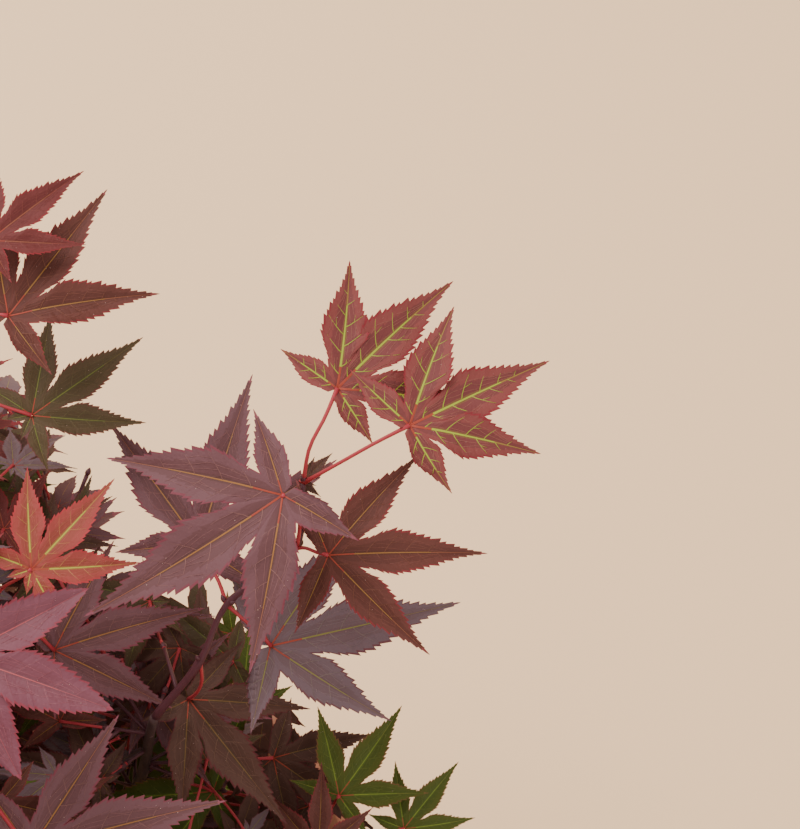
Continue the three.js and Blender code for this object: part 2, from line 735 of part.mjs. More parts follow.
function addSideTwigs(mass) {
  const { points } = mass.twigs[0];
  const last = points.length - 1;
  for (let node = 1; node < last; node += 1) {
    const way = points[node + 1].clone().sub(points[node - 1]).normalize();
    for (const sign of [1, -1]) {
      const level = new THREE.Vector3().crossVectors(Z, way).normalize().multiplyScalar(sign);
      const heading = level.multiplyScalar(0.95).addScaledVector(way, 0.7)
        .addScaledVector(Z, 0.5 * (chance(mass.seed, node, sign + 5, 9) - 0.35))
        .normalize();
      const length = NODE_STEP * (1.0 + 0.5 * chance(mass.seed, node, sign + 5, 10));
      const root = points[node].clone().addScaledVector(way, SIDE_TWIG_AHEAD);
      const tip = root.clone().addScaledVector(heading, length);
      const rod = { from: root, to: tip, radius: SIDE_TWIG_RADII[0], owner: mass.owner };
      if (!isInCrown(tip) || spoilsView(tip) || !isRodClear(rod)) continue;
      mass.twigs.push({ points: [root, tip], radii: SIDE_TWIG_RADII, hasLeaves: false });
      rods.push(rod);
    }
  }
}

function addLeaves(mass, wanted) {
  for (const [number, twig] of mass.twigs.entries()) {
    const last = twig.points.length - 1;
    for (let node = last; node >= 1; node -= 1) {
      const way = twig.points[node].clone().sub(twig.points[node - 1]).normalize();
      for (const sign of [1, -1]) {
        if (mass.leaves.length >= wanted) return;
        const lateral = pairSide(way, node + number).multiplyScalar(sign);
        const keys = [mass.seed, number, node, sign + 5];
        const leaf = ruleLeaf(mass.owner, twig.points[node], way, lateral, keys);
        if (!leaf) continue;
        twig.hasLeaves = true;
        mass.leaves.push(leaf);
        keep(leaf, mass.owner);
      }
    }
  }
}

// The proud shoots come first, so that the others grow round them.
function growFoliage(limbs) {
  const seeds = new Map(limbs.slice(1).map((bough, index) => [bough, index + 1]));
  const isProud = (bough) => PROUD_SHOOTS.some((shoot) => shoot.bough === bough.name);
  const boughs = [...seeds.keys()];
  const inTurn = [...boughs.filter(isProud), ...boughs.filter((bough) => !isProud(bough))];
  const masses = inTurn.map((bough) => growMass(bough, seeds.get(bough)));
  masses.forEach(addSideTwigs);
  for (const mass of masses) addLeaves(mass, LEAVES_PER_MASS);
  return masses;
}

function budded(points) {
  const [before, end] = points.slice(-2);
  const bud = end.clone().addScaledVector(end.clone().sub(before).normalize(), BUD_LENGTH);
  return [...points.slice(0, -1), bud];
}

function massSolid(mass) {
  const leaves = mass.leaves.flatMap(leafSolid);
  const twigs = mass.twigs.filter(({ hasLeaves }) => hasLeaves)
    .map(({ points, radii, firstWay }) => twigSolid(budded(points), radii, firstWay));
  return biggestBody(wasm.Manifold.union([...leaves, ...twigs]));
}

function potSolid() {
  const wallSlope = (RIM_RADIUS - RIM_PROUD - FOOT_RADIUS) / (POT_HEIGHT - RIM_HEIGHT);
  const underRim = POT_HEIGHT - RIM_HEIGHT;
  const inner = (height) => FOOT_RADIUS - WALL + wallSlope * height;
  const profile = [
    [0, 0],
    [FOOT_RADIUS - EDGE_CUT, 0],
    [FOOT_RADIUS, EDGE_CUT],
    [RIM_RADIUS - RIM_PROUD, underRim - EDGE_CUT],
    [RIM_RADIUS - EDGE_CUT, underRim],
    [RIM_RADIUS, underRim + EDGE_CUT],
    [RIM_RADIUS, POT_HEIGHT - EDGE_CUT],
    [RIM_RADIUS - EDGE_CUT, POT_HEIGHT],
    [inner(POT_HEIGHT) + EDGE_CUT, POT_HEIGHT],
    [inner(POT_HEIGHT), POT_HEIGHT - EDGE_CUT],
    [inner(POT_FLOOR), POT_FLOOR],
    [0, POT_FLOOR],
  ].map(([radius, height]) => new THREE.Vector2(radius, height));
  const lathe = new THREE.LatheGeometry(profile, POT_SIDES).rotateX(Math.PI / 2);
  let pot = solidOf(lathe);
  for (let number = 0; number < DRAINS; number += 1) {
    const turn = (number / DRAINS) * Math.PI * 2;
    const drain = new THREE.CylinderGeometry(DRAIN_RADIUS, DRAIN_RADIUS, POT_FLOOR * 3, 16)
      .rotateX(Math.PI / 2)
      .translate(Math.cos(turn) * DRAIN_CIRCLE, Math.sin(turn) * DRAIN_CIRCLE, 0);
    pot = pot.subtract(solidOf(drain));
  }
  return { pot, inner };
}

function soilSolid(inner) {
  const low = POT_FLOOR + CLEARANCE;
  const edge = SOIL_TOP - SOIL_DOME;
  const profile = [
    [0, low],
    [inner(low) - CLEARANCE, low],
    [inner(edge) - CLEARANCE, edge],
    [(inner(edge) + SEAT_RADIUS) / 2, SOIL_TOP - SOIL_DOME * 0.3],
    [SEAT_RADIUS, SOIL_TOP],
    [0, SOIL_TOP],
  ].map(([radius, height]) => new THREE.Vector2(radius, height));
  return solidOf(new THREE.LatheGeometry(profile, POT_SIDES).rotateX(Math.PI / 2));
}

// Each limb is cut by those before it, taken a little thicker so that a gap is left.
function limbSolids(limbs) {
  const thicker = [];
  return limbs.map(({ name, curve, radiusAt, sides, steps }) => {
    const whole = limbSolid(curve, radiusAt, sides, steps);
    const cut = thicker.reduce((solid, other) => solid.subtract(other), whole);
    thicker.push(limbSolid(curve, (share, turn) => radiusAt(share, turn) + CUT_GAP, sides, steps));
    return { name, solid: biggestBody(cut) };
  });
}

const plant = new THREE.Group();
const { pot, inner } = potSolid();
plant.add(meshOf('pot', pot, material(POT_COLOUR, 0.85)));
plant.add(meshOf('soil', soilSolid(inner), material(MOSS_COLOUR, 1)));

const limbs = growLimbs();
for (const limb of limbs) rods.push(...limbRods(limb));
for (const { name, solid } of limbSolids(limbs)) {
  plant.add(meshOf(name, solid, material(name === 'trunk' ? TRUNK_COLOUR : BOUGH_COLOUR, 0.8)));
}

const masses = growFoliage(limbs);
for (const [index, mass] of masses.entries()) {
  const colour = LEAF_COLOURS[index % LEAF_COLOURS.length];
  plant.add(meshOf(mass.owner, massSolid(mass), material(colour, 0.6)));
}

export default plant;
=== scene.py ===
"""A small potted Japanese maple with dark red leaves: the looks of its pot, moss, limbs and foliage."""
import functools
import math

import bmesh
import bpy
import numpy as np
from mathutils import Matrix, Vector, noise


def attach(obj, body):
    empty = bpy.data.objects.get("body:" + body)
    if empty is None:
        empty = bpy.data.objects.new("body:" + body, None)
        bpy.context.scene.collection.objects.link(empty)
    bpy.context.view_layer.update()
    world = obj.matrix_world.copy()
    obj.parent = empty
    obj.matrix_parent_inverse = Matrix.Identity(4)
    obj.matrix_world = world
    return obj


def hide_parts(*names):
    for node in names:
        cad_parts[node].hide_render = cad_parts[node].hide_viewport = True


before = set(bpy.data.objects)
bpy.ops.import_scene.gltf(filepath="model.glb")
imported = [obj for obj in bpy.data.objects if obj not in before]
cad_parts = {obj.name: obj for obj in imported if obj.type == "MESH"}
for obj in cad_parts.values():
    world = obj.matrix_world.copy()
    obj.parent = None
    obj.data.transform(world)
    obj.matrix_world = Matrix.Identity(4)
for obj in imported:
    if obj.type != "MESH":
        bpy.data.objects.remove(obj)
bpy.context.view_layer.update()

bl_info = {
    "name": "Potted maple",
    "version": (1, 0, 0),
    "blender": (4, 5, 0),
    "location": "View3D > Sidebar > Maple",
    "description": "Makes the pot, moss, limbs, twigs and leaves of a small maple",
    "category": "Add Mesh",
}

MM = 0.001

# What the solids were made and grown with: millimetres, degrees, and shares of a length or a reach.
# A pair that rolled() takes is a least value and its spread.
CLEARANCE = 0.3
POT_HEIGHT = 165
RIM_HEIGHT = 26
RIM_RADIUS = 112
RIM_PROUD = 5
FOOT_RADIUS = 80
WALL = 7
POT_FLOOR = 9
EDGE_CUT = 2
DRAINS = 3
DRAIN_RADIUS = 6
DRAIN_CIRCLE = 40
SOIL_BELOW_RIM = 20
SOIL_DOME = 8
SOIL_TOP = POT_HEIGHT - SOIL_BELOW_RIM
SEAT_RADIUS = 30
POT_SLOPE = (RIM_RADIUS - RIM_PROUD - FOOT_RADIUS) / (POT_HEIGHT - RIM_HEIGHT)

TRUNK_RISE = 78
TRUNK_SHARES = (0, 0.12, 0.5, 1)
TRUNK_FOOT = (4, 3)
TRUNK_LEAN = (-15, -13)
TRUNK_BEND = (7, -2)
TRUNK_RADIUS = 8.6
FORK_RADIUS = 6.4
FLARE = 6.4
FLARE_RISE = 9
ROOT_RIDGES = 5
RIDGE_HEIGHT = 0.3

CROWN_CENTRE = np.array([-24.0, -24.0, SOIL_TOP + 207])
CROWN_REACH = np.array([206.0, 206.0, 164.0])
CROWN_FOOT = POT_HEIGHT + 14
MAIN_BOUGHS = 5
FIRST_HEADING = 28
MAIN_RISE = 24
MAIN_DEPTH = 0.43
MAIN_START = 0.97
MAIN_SPACING = 0.055
MAIN_SAG = 0.06
LOW_SPREAD = 21
LOW_RISE = -15
LOW_DEPTH = 0.44
LOW_START = 0.36
LOW_STAGGER = 0.1
LOW_SAG = 0.08
OPEN_SIDE = "bough_1_low_left"
LEADER_TIP = (14, -2, 72)
LEADER_SAG = 0.04
BACK_START = 0.62
BACK_SAG = 0.02
RIGHT_START = 0.74
LEADER_BOUGHS = (
    ("left", 0.56, 196, 46, 0.42),
    ("front", 0.5, 262, 44, 0.42),
    ("inner", 0.42, 336, 18, 0.26),
    ("deep", 0.36, 76, 4, 0.22),
)
SHOOT_GAPS = {"bough_1": 26, "bough_1_low_right": 22, "leader_back": 24, "leader_right": 10}
BOUGH_AWAY = 0.3
BOUGH_BACK = 0.36
BOUGH_STEPS = 4
TRUNK_STEPS = 11
MAIN_RADII = (4.3, 2.2)
LEADER_RADII = (4.9, 2.4)
SIDE_RADII = (2.9, 2.1)

TWIG_RADIUS = 2.0
SIDE_TWIG_RADIUS = 0.9
TWIG_NODES = 4
TWIG_OUTWARD = 0.35
TWIG_WANDER = 0.6
TWIG_STRETCH = (0.85, 0.3)
SIDE_TWIG_AHEAD = 2.5
SIDE_TWIG_ASIDE = 0.95
SIDE_TWIG_FORWARD = 0.7
SIDE_TWIG_RISE = 0.5
SIDE_TWIG_DIP = 0.35
SIDE_TWIG_STRETCH = (1.0, 0.5)
PETIOLE_RADIUS = 0.6
PETIOLE_LENGTH = (20, 38)
NODE_STEP = 25
FIRST_STEP = 16
LEAF_LENGTH = (43, 58)
LEAF_DROOP = 0.16
LEAF_FOLD = 0.05
LEAF_GAP = 2.0
LIMB_GAP = 1.3
LEAF_SWING = 1.8
LEAF_ASIDE = 0.9
LEAF_AHEAD = (0.35, 0.5)
LEAF_OUTWARD = 0.25
LEAF_LIFT = (0.1, 0.35)
LEAF_TILT = 0.3
LEAF_SWAY = 0.7
LEAF_LEVEL = (1, 1, 0.3)
LEAF_MIDDLE = 0.3
LEAF_REACH = 0.86
INNER_RIM = 0.6
PETIOLE_END = 0.1
PROUD_ROOM = 0.72
PROUD_DEPTH = 4
LEAVES_PER_MASS = 13
TRIES = 18
TWIG_TRIES = 12
TWIG_GAP = 2
SHRINK_PER_TRY = 0.03
ROD_SHARES = np.linspace(0, 1, 6)

# Finer growth that the solids leave out: twiglets between the nodes, with smaller leaves
FINE_SHARES = (0.4, 0.75)
FINE_TWIG_LENGTH = 9
FINE_TWIG_AHEAD = 0.8
FINE_TWIG_RADIUS = 0.6
FINE_LEAF_LENGTH = (27, 43)
FINE_PETIOLE_LENGTH = (12, 26)
FINE_LEAVES_PER_MASS = 12
FINE_GAP = 1.1
FINE_TRIES = 9
BOUGH_SHARES = (0.95, 0.86, 0.77, 0.68, 0.59, 0.5, 0.41)
BOUGH_LEAVES = 10
BOUGH_TWIG_LENGTH = 14

# The lobes of a leaf: degrees from the middle lobe, and length as a share of it
SIDE_LOBE = (46, 0.82)
BASE_LOBE = (108, 0.46)
SHOULDER_AT = 0.44
SHOULDER_WIDTH = 0.145
NOTCH_DEPTH = 0.2
NOTCH_TURN = 4
LOW_NOTCH = 0.85
BACK_DEPTH = 0.05
SMALL_LOBE = (150, 0.2)
SMALL_LOBE_CHANCE = 0.4
LOBE_SWING = 9
LOBE_STRETCH = 0.12

# Places seen from above the plant: across, up and near, in millimetres at the first shoot
VIEW_RISE = math.radians(60)
VIEW_DISTANCE = 520
VIEW_MIDDLE = CROWN_CENTRE + (150, 90, 130)
ACROSS = np.array([1.0, 0.0, 0.0])
UP = np.array([0.0, math.sin(VIEW_RISE), math.cos(VIEW_RISE)])
NEAR = np.array([0.0, -math.cos(VIEW_RISE), math.sin(VIEW_RISE)])
VIEW_LEFT = -120
VIEW_FOOT = -124.5
VIEW_MARGIN = 6
VIEW_HALF = 124
VIEW_DEPTH = -100
SEEN_TILT = 0.16
Z = np.array([0.0, 0.0, 1.0])

# Lobes of the leaves that are seen best, from one side to the other: turn and length
LOBES_A = ((-104, 0.40), (-52, 0.82), (0, 1), (35, 0.82), (97, 0.42))
LOBES_B = ((-89, 0.49), (-37, 0.82), (0, 1), (45, 0.84), (110, 0.51))
LOBES_C = ((-107, 0.42), (-49, 0.82), (0, 1), (49, 0.78), (116, 0.39))
LOBES_D = ((-115, 0.53), (-50, 0.88), (0, 1), (48, 0.86), (109, 0.54))
LOBES_E = ((-115, 0.45), (-47, 0.72), (0, 1), (44, 0.76), (105, 0.46))
LOBES_F = ((-102, 0.33), (-41, 0.74), (0, 1), (47, 0.77), (97, 0.50))
LOBES_G = ((-110, 0.46), (-43, 0.91), (0, 1), (46, 0.84), (108, 0.46))

# Each proud shoot: its twig, and its leaves as node, across, up, near, turn, length, tint and own lobes
PROUD_SHOOTS = {
    "bough_1": {
        "twig": ((-60, -74, -18), (-52, -57, -13), (-31, -40, -6), (-29, -20.5, 0)),
        "leaves": (
            (3, -18.8, 7.8, 3, 46, 50, "young", LOBES_A),
            (3, 2.9, -3.3, 10, 26, 49.5, "young", LOBES_B),
            (2, -35.2, -24.2, 14, 214, 69, "plum", LOBES_C),
            (2, -21.5, -42.2, -1, 3, 48, "red_brown", LOBES_D),
            (1, -38.8, -69.4, -22, 12, 59, "purple", LOBES_E),
            (1, -60, -39.3, -22, 76, 58, "plum"),
            # Leaf F stands in shade and takes the deep tint, which is painted shade.
            (0, -63.4, -85.4, -38, -49, 47.5, "deep", LOBES_F),
        ),
    },
    "leader_back": {
        "twig": ((-142, -20, -30), (-138, 8, -16), (-136, 34, -6), (-136, 56, 2)),
        "leaves": (
            (2, -117.5, 29.5, 2, 55, 50, "red_brown", LOBES_G),
            (3, -123, 52.2, 4, 42, 35, "crimson"),
            (1, -110.4, -0.3, -14, 36, 41, "olive"),
            (3, -146, 76, 0, 112, 44, "crimson"),
            (2, -166, 44, -2, 160, 46, "red_brown"),
            (1, -170, 4, -18, 190, 48, "plum"),
        ),
    },
    "leader_right": {
        "twig": ((-129, -66, -32), (-124, -58, -16), (-121, -54, -2)),
        "leaves": (
            (2, -110.5, -46.5, 10, 48, 39, "coral"),
            (2, -134, -48, 14, 150, 44, "crimson"),
            (1, -103.7, -70.7, -34, 18, 47, "plum"),
        ),
    },
    "leader": {
        "twig": ((-146, -86, 6), (-145, -86, 24), (-145, -85, 40)),
        "leaves": (
            (2, -132, -72.3, 52, -17, 52, "rose"),
            (2, -158, -74, 54, 118, 50, "rose"),
            (1, -111, -130.8, 30, 15, 58, "plum"),
            (1, -172, -104, 34, 205, 54, "plum"),
        ),
    },
    "bough_1_low_right": {
        "twig": ((-36, -131, -72), (-26, -128, -66), (-18, -128, -62)),
        "leaves": (
            (1, -18.3, -114.3, -52, 52, 34, "bronze"),
            (2, 1.2, -124.2, -56, 50, 26, "bronze"),
            (1, -24.6, -131, -42, 86, 27, "red_brown"),
            (2, 0, -146, -60, -20, 44, "bronze"),
        ),
    },
}

# More leaves that show below the first shoot: across, up, reach past the crown's edge, and tint. The deep
# tints among them are painted shade.
UNDER_PLACES = (
    (-75, -56, 12, "olive"), (-56, -56, 24, "bronze"), (-66, -70, 22, "deep"), (-50, -74, 24, "olive"),
    (-84, -44, 8, "olive"), (-75, -86, 20, "plum"), (-47, -89, 24, "bronze"), (-38, -103, 24, "deep"),
    (-56, -113, 20, "bronze"), (-26, -117, 22, "deep"), (-87, -62, 12, "plum"), (-102, -92, 12, "red_brown"),
    (-90, -110, 12, "deep"), (-42, -118, 22, "olive"), (-66, -100, 20, "deep"), (-98, -74, 12, "bronze"),
    (-104, -46, 14, "olive"), (-98, -36, 8, "olive"), (-86, -42, 8, "plum"), (-60, -62, 24, "olive"),
    (-46, -64, 24, "bronze"), (-50, -66, 26, "bronze"), (-70, -46, 14, "bronze"), (-58, -80, 22, "deep"),
    (-32, -92, 20, "bronze"), (-78, -72, 16, "deep"), (-50, -100, 20, "olive"), (-110, -60, 10, "plum"),
    (-34, -112, 20, "red_brown"), (-82, -98, 14, "bronze"), (-92, -50, 10, "bronze"), (-40, -86, 24, "deep"),
)
UNDER_DEPTHS = (-42, -54, -66, -78, -92, -108, -124, -140)
UNDER_TURNS = 8
UNDER_LENGTH = 39
UNDER_STALK = 80
UNDER_ROOTS = np.linspace(0.25, 1, 12)
UNDER_TWIGLET = 0.45

# Leaves that are still unfolding at the tip of the first shoot
BUD_LOBES = ((-24, 0.6), (0, 1), (20, 0.66))
BUD_LEAVES = ((-28.6, -19.6, -3, 46, 12), (-30, -20, -4, -34, 8))

# The crown's edge as it is seen, across and up
CROWN_EDGE = (
    (-120, 22), (-99, -4), (-83, -24), (-70, -58),
    (-49, -77), (-34, -98), (-22, -114), (10, -124.5),
)


def between(pair, share):
    return pair[0] + (pair[1] - pair[0]) * share


def rolled(pair, roll):
    """The least value, and as much of its spread as the roll says."""
    return pair[0] + pair[1] * roll


def unit(vector):
    return vector / np.linalg.norm(vector)


def dot(one, other):
    return np.einsum("...i,...i->...", one, other)


def cross(one, other):
    """The cross product of two stacks of vectors, quicker than numpy's own on small ones."""
    made = np.empty(np.broadcast_shapes(one.shape, other.shape))
    made[..., 0] = one[..., 1] * other[..., 2] - one[..., 2] * other[..., 1]
    made[..., 1] = one[..., 2] * other[..., 0] - one[..., 0] * other[..., 2]
    made[..., 2] = one[..., 0] * other[..., 1] - one[..., 1] * other[..., 0]
    return made


def turned(vector, axis, angle):
    """A vector turned about an axis of length 1."""
    cosine = math.cos(angle)
    return vector * cosine + cross(axis, vector) * math.sin(angle) + axis * dot(axis, vector) * (1 - cosine)


WORD = 0xFFFFFFFF
TOUCHING = 1e-6
PARALLEL = 1e-9


def chance(*keys):
    """One even number from 0 to 1 that depends only on the keys, which are whole numbers."""
    mixed = 0x9E3779B9
    for key in keys:
        mixed = ((mixed ^ key) * 0x85EBCA6B) & WORD
        mixed ^= mixed >> 15
        mixed = (mixed * 0xC2B2AE35) & WORD
        mixed ^= mixed >> 13
    return mixed / (WORD + 1)


def seen(across, up, near):
    """The place that looks as if it were across and up from the middle of the view."""
    shrink = 1 - near / VIEW_DISTANCE
    return VIEW_MIDDLE + ACROSS * across * shrink + UP * up * shrink + NEAR * near


def as_seen(places):
    """Where places look to be, the other way round: across, up and near."""
    away = np.asarray(places) - VIEW_MIDDLE
    near = away @ NEAR
    shrink = 1 - near / VIEW_DISTANCE
    return (away @ ACROSS) / shrink, (away @ UP) / shrink, near


def crown_point(heading, rise, depth):
    """A place in the crown: its heading and rise in degrees from the centre, and a share of the reach."""
    heading, rise = math.radians(heading), math.radians(rise)
    level = math.cos(rise)
    way = np.array([math.cos(heading) * level, math.sin(heading) * level, math.sin(rise)])
    return way * CROWN_REACH * depth + CROWN_CENTRE


class Route:
    """A centripetal curve through points, read by the share of its length."""

    STEPS = 200
    DELTA = 0.0001

    def __init__(self, points):
        self.points = np.array(points, float)
        places = np.array([self.at_part(part) for part in np.linspace(0, 1, self.STEPS + 1)])
        steps = np.linalg.norm(np.diff(places, axis=0), axis=1)
        self.lengths = np.concatenate([[0], np.cumsum(steps)])

    def at_part(self, part):
        points = self.points
        last = len(points) - 1
        index = min(int(last * part), last - 1)
        share = last * part - index
        start, end = points[index], points[index + 1]
        before = points[index - 1] if index > 0 else 2 * points[0] - points[1]
        after = points[index + 2] if index + 2 <= last else 2 * points[last] - points[last - 1]
        gaps = [((b - a) @ (b - a)) ** 0.25 for a, b in ((before, start), (start, end), (end, after))]
        first = (start - before) / gaps[0] - (end - before) / (gaps[0] + gaps[1]) + (end - start) / gaps[1]
        second = (end - start) / gaps[1] - (after - start) / (gaps[1] + gaps[2]) + (after - end) / gaps[2]
        first, second = first * gaps[1], second * gaps[1]
        square = 3 * (end - start) - 2 * first - second
        cube = 2 * (start - end) + first + second
        return start + share * (first + share * (square + share * cube))

    def part_at(self, share):
        parts = np.linspace(0, 1, self.STEPS + 1)
        return float(np.interp(share * self.lengths[-1], self.lengths, parts))

    def point(self, share):
        return self.at_part(self.part_at(share))

    def way(self, share):
        part = self.part_at(share)
        low, high = max(part - self.DELTA, 0), min(part + self.DELTA, 1)
        return unit(self.at_part(high) - self.at_part(low))


class Limb:
    """The trunk or a bough: its name, route, number of steps and radius at a share of its length."""

    def __init__(self, name, route, radii, steps=BOUGH_STEPS):
        self.name = name
        self.route = route
        self.radii = radii
        self.steps = steps

    def radius(self, share, turn=0.0):
        plain = between(self.radii, share)
        if self.name != "trunk":
            return plain
        fade = math.exp(-share * TRUNK_RISE / FLARE_RISE)
        return plain + FLARE * fade * (1 + RIDGE_HEIGHT * math.cos(ROOT_RIDGES * turn))


def trunk_route():
    """The trunk's route: straight up at its foot, then a bend on top of its lean."""
    foot = np.array([*TRUNK_FOOT, SOIL_TOP + CLEARANCE])
    points = []
    for share in TRUNK_SHARES:
        bow = math.sin(share * math.pi)
        lean = [TRUNK_LEAN[i] * share * share + TRUNK_BEND[i] * bow for i in (0, 1)]
        points.append(foot + [*lean, TRUNK_RISE * share])
    points[1][:2] = points[0][:2]
    return Route(points)


def tip_before(bough):
    """The tip of a bough whose proud shoot starts a little further on."""
    first, second = (seen(*place) for place in PROUD_SHOOTS[bough]["twig"][:2])
    inward = unit(CROWN_CENTRE - first)
    return first + unit(unit(first - second) + inward) * SHOOT_GAPS[bough]


def grow_limbs():
    """The trunk, its leader, the five main boughs with their low side boughs, and the leader's own."""
    limbs = {"trunk": Limb("trunk", trunk_route(), (TRUNK_RADIUS, FORK_RADIUS), TRUNK_STEPS)}

    def add(name, parent, share, tip, radii, sag):
        along = limbs[parent].route.way(share)
        start = limbs[parent].route.point(share) + along * (CLEARANCE if share == 1 else 0)
        away = unit(unit(tip - start) + along)
        span = np.linalg.norm(tip - start)
        second = tip + (start - tip) * BOUGH_BACK - Z * span * sag
        limbs[name] = Limb(name, Route([start, start + away * span * BOUGH_AWAY, second, tip]), radii)

    add("leader", "trunk", 1, CROWN_CENTRE + LEADER_TIP, LEADER_RADII, 0)
    for number in range(1, MAIN_BOUGHS + 1):
        heading = FIRST_HEADING + (number - 1) * 360 / MAIN_BOUGHS
        name = f"bough_{number}"
        tip = tip_before(name) if number == 1 else crown_point(heading, MAIN_RISE, MAIN_DEPTH)
        add(name, "trunk", MAIN_START - MAIN_SPACING * number, tip, MAIN_RADII, MAIN_SAG)
        for side, spread in (("right", -LOW_SPREAD), ("left", LOW_SPREAD)):
            low = f"{name}_low_{side}"
            if low == OPEN_SIDE:
                continue
            tip = crown_point(heading + spread, LOW_RISE, LOW_DEPTH)
            if low in PROUD_SHOOTS:
                tip = tip_before(low)
            start = LOW_START + (LOW_STAGGER if side == "left" else 0)
            add(low, name, start, tip, SIDE_RADII, LOW_SAG)
    add("leader_back", "leader", BACK_START, tip_before("leader_back"), SIDE_RADII, BACK_SAG)
    add("leader_right", "leader", RIGHT_START, tip_before("leader_right"), SIDE_RADII, 0)
    for side, share, heading, rise, depth in LEADER_BOUGHS:
        add(f"leader_{side}", "leader", share, crown_point(heading, rise, depth), SIDE_RADII, LEADER_SAG)
    return list(limbs.values())


def leaf_outline():
    """The outline that the room for a leaf is tested with, in shares of its middle lobe."""
    wide_turn = math.degrees(math.atan2(SHOULDER_WIDTH, SHOULDER_AT))
    wide_reach = math.hypot(SHOULDER_AT, SHOULDER_WIDTH)

    def lobe(turn, length):
        wide = wide_reach * length
        return [(turn - wide_turn, wide, LEAF_FOLD), (turn, length, 0), (turn + wide_turn, wide, LEAF_FOLD)]

    half = [
        lobe(0, 1)[2],
        (SIDE_LOBE[0] / 2, NOTCH_DEPTH, 0),
        *lobe(*SIDE_LOBE),
        ((SIDE_LOBE[0] + BASE_LOBE[0]) / 2 + NOTCH_TURN, NOTCH_DEPTH * LOW_NOTCH, 0),
        (*BASE_LOBE, 0),
    ]
    other = [(-turn, radius, lift) for turn, radius, lift in reversed(half)]
    rows = np.array([(0, 1, 0), *half, (180, BACK_DEPTH, 0), *other])
    turn, radius = np.radians(rows[:, 0]), rows[:, 1]
    lift = rows[:, 2] - LEAF_DROOP * radius * radius
    return np.stack([np.cos(turn) * radius, np.sin(turn) * radius, lift], axis=1)


OUTLINE = leaf_outline()
RIM_POINTS = len(OUTLINE)


class Leaf:
    """A leaf's place: its base, upward side and heading, with the rim that its room is tested by."""

    def __init__(self, base, normal, heading, length, node, tint=None, lobes=None):
        self.base = base
        self.up = unit(normal)
        self.forward = unit(heading - self.up * (heading @ self.up))
        self.aside = cross(self.up, self.forward)
        self.length = length
        self.node = node
        self.rim = base + OUTLINE @ (np.array([self.forward, self.aside, self.up]) * length)
        self.middle = base + self.forward * length * LEAF_MIDDLE
        self.reach = length * LEAF_REACH
        self.tint = tint
        self.lobes = lobes
        self.is_proud = tint is not None
        self.is_finest = False


def fans(bases, rims):
    """The flat triangles from each leaf's base to its rim."""
    following = np.roll(rims, -1, axis=-2)
    middle = np.broadcast_to(bases[..., None, :], rims.shape)
    return np.stack([middle, rims, following], axis=-2)


def any_goes_through(starts, ends, triangles):
    """Whether any stretch of a row goes through any triangle of the same row; single rows are shared."""
    corners = triangles[:, :, 0]
    edges = triangles[:, :, 1:] - corners[:, :, None]
    normals = cross(edges[:, :, 0], edges[:, :, 1])
    heights = dot(corners, normals)[:, None]
    turned_normals = np.swapaxes(normals, 1, 2)
    sides = (starts @ turned_normals - heights) * (ends @ turned_normals - heights)
    row, stretch, triangle = np.nonzero(sides <= TOUCHING)
    if not len(row):
        return False
    start_row = row if len(starts) > 1 else row * 0
    triangle_row = row if len(triangles) > 1 else row * 0
    start, end = starts[start_row, stretch], ends[start_row, stretch]
    corner, pair = corners[triangle_row, triangle], edges[triangle_row, triangle]
    one, two, way = pair[:, 0], pair[:, 1], end - start
    across = cross(way, two)
    size = dot(one, across)
    is_slanted = np.abs(size) >= PARALLEL
    size = np.where(is_slanted, size, 1)
    start = start - corner
    first = dot(start, across) / size
    other = cross(start, one)
    second = dot(way, other) / size
    share = dot(two, other) / size
    inside = (first >= 0) & (first <= 1) & (second >= 0) & (first + second <= 1)
    return bool((inside & (share >= 0) & (share <= 1) & is_slanted).any())


def stretch_gap(a, b, c, d):
    """The shortest distance between straight stretches; the shapes broadcast."""
    first, second, start = b - a, d - c, a - c
    aa, bb, ab = dot(first, first), dot(second, second), dot(first, second)
    on_first, on_second = dot(first, start), dot(second, start)
    size = aa * bb - ab * ab
    is_slanted = size > PARALLEL
    share = np.clip((ab * on_second - on_first * bb) / np.where(is_slanted, size, 1), 0, 1) * is_slanted
    other = np.clip((ab * share + on_second) / bb, 0, 1)
    share = np.clip((ab * other - on_first) / aa, 0, 1)
    apart = start + first * share[..., None] - second * other[..., None]
    return np.sqrt(dot(apart, apart))


def sheet_tests(rims, bases, ups, gap):
    """The stretches that a leaf must keep out of another's sheet, whose upward side is given."""
    inner = bases[..., None, :] + (rims - bases[..., None, :]) * INNER_RIM
    points = np.concatenate([rims, inner, bases[..., None, :]], axis=-2)
    lift = ups[..., None, :] * gap
    starts = np.concatenate([rims, points - lift], axis=-2)
    ends = np.concatenate([np.roll(rims, -1, axis=-2), points + lift], axis=-2)
    return starts, ends


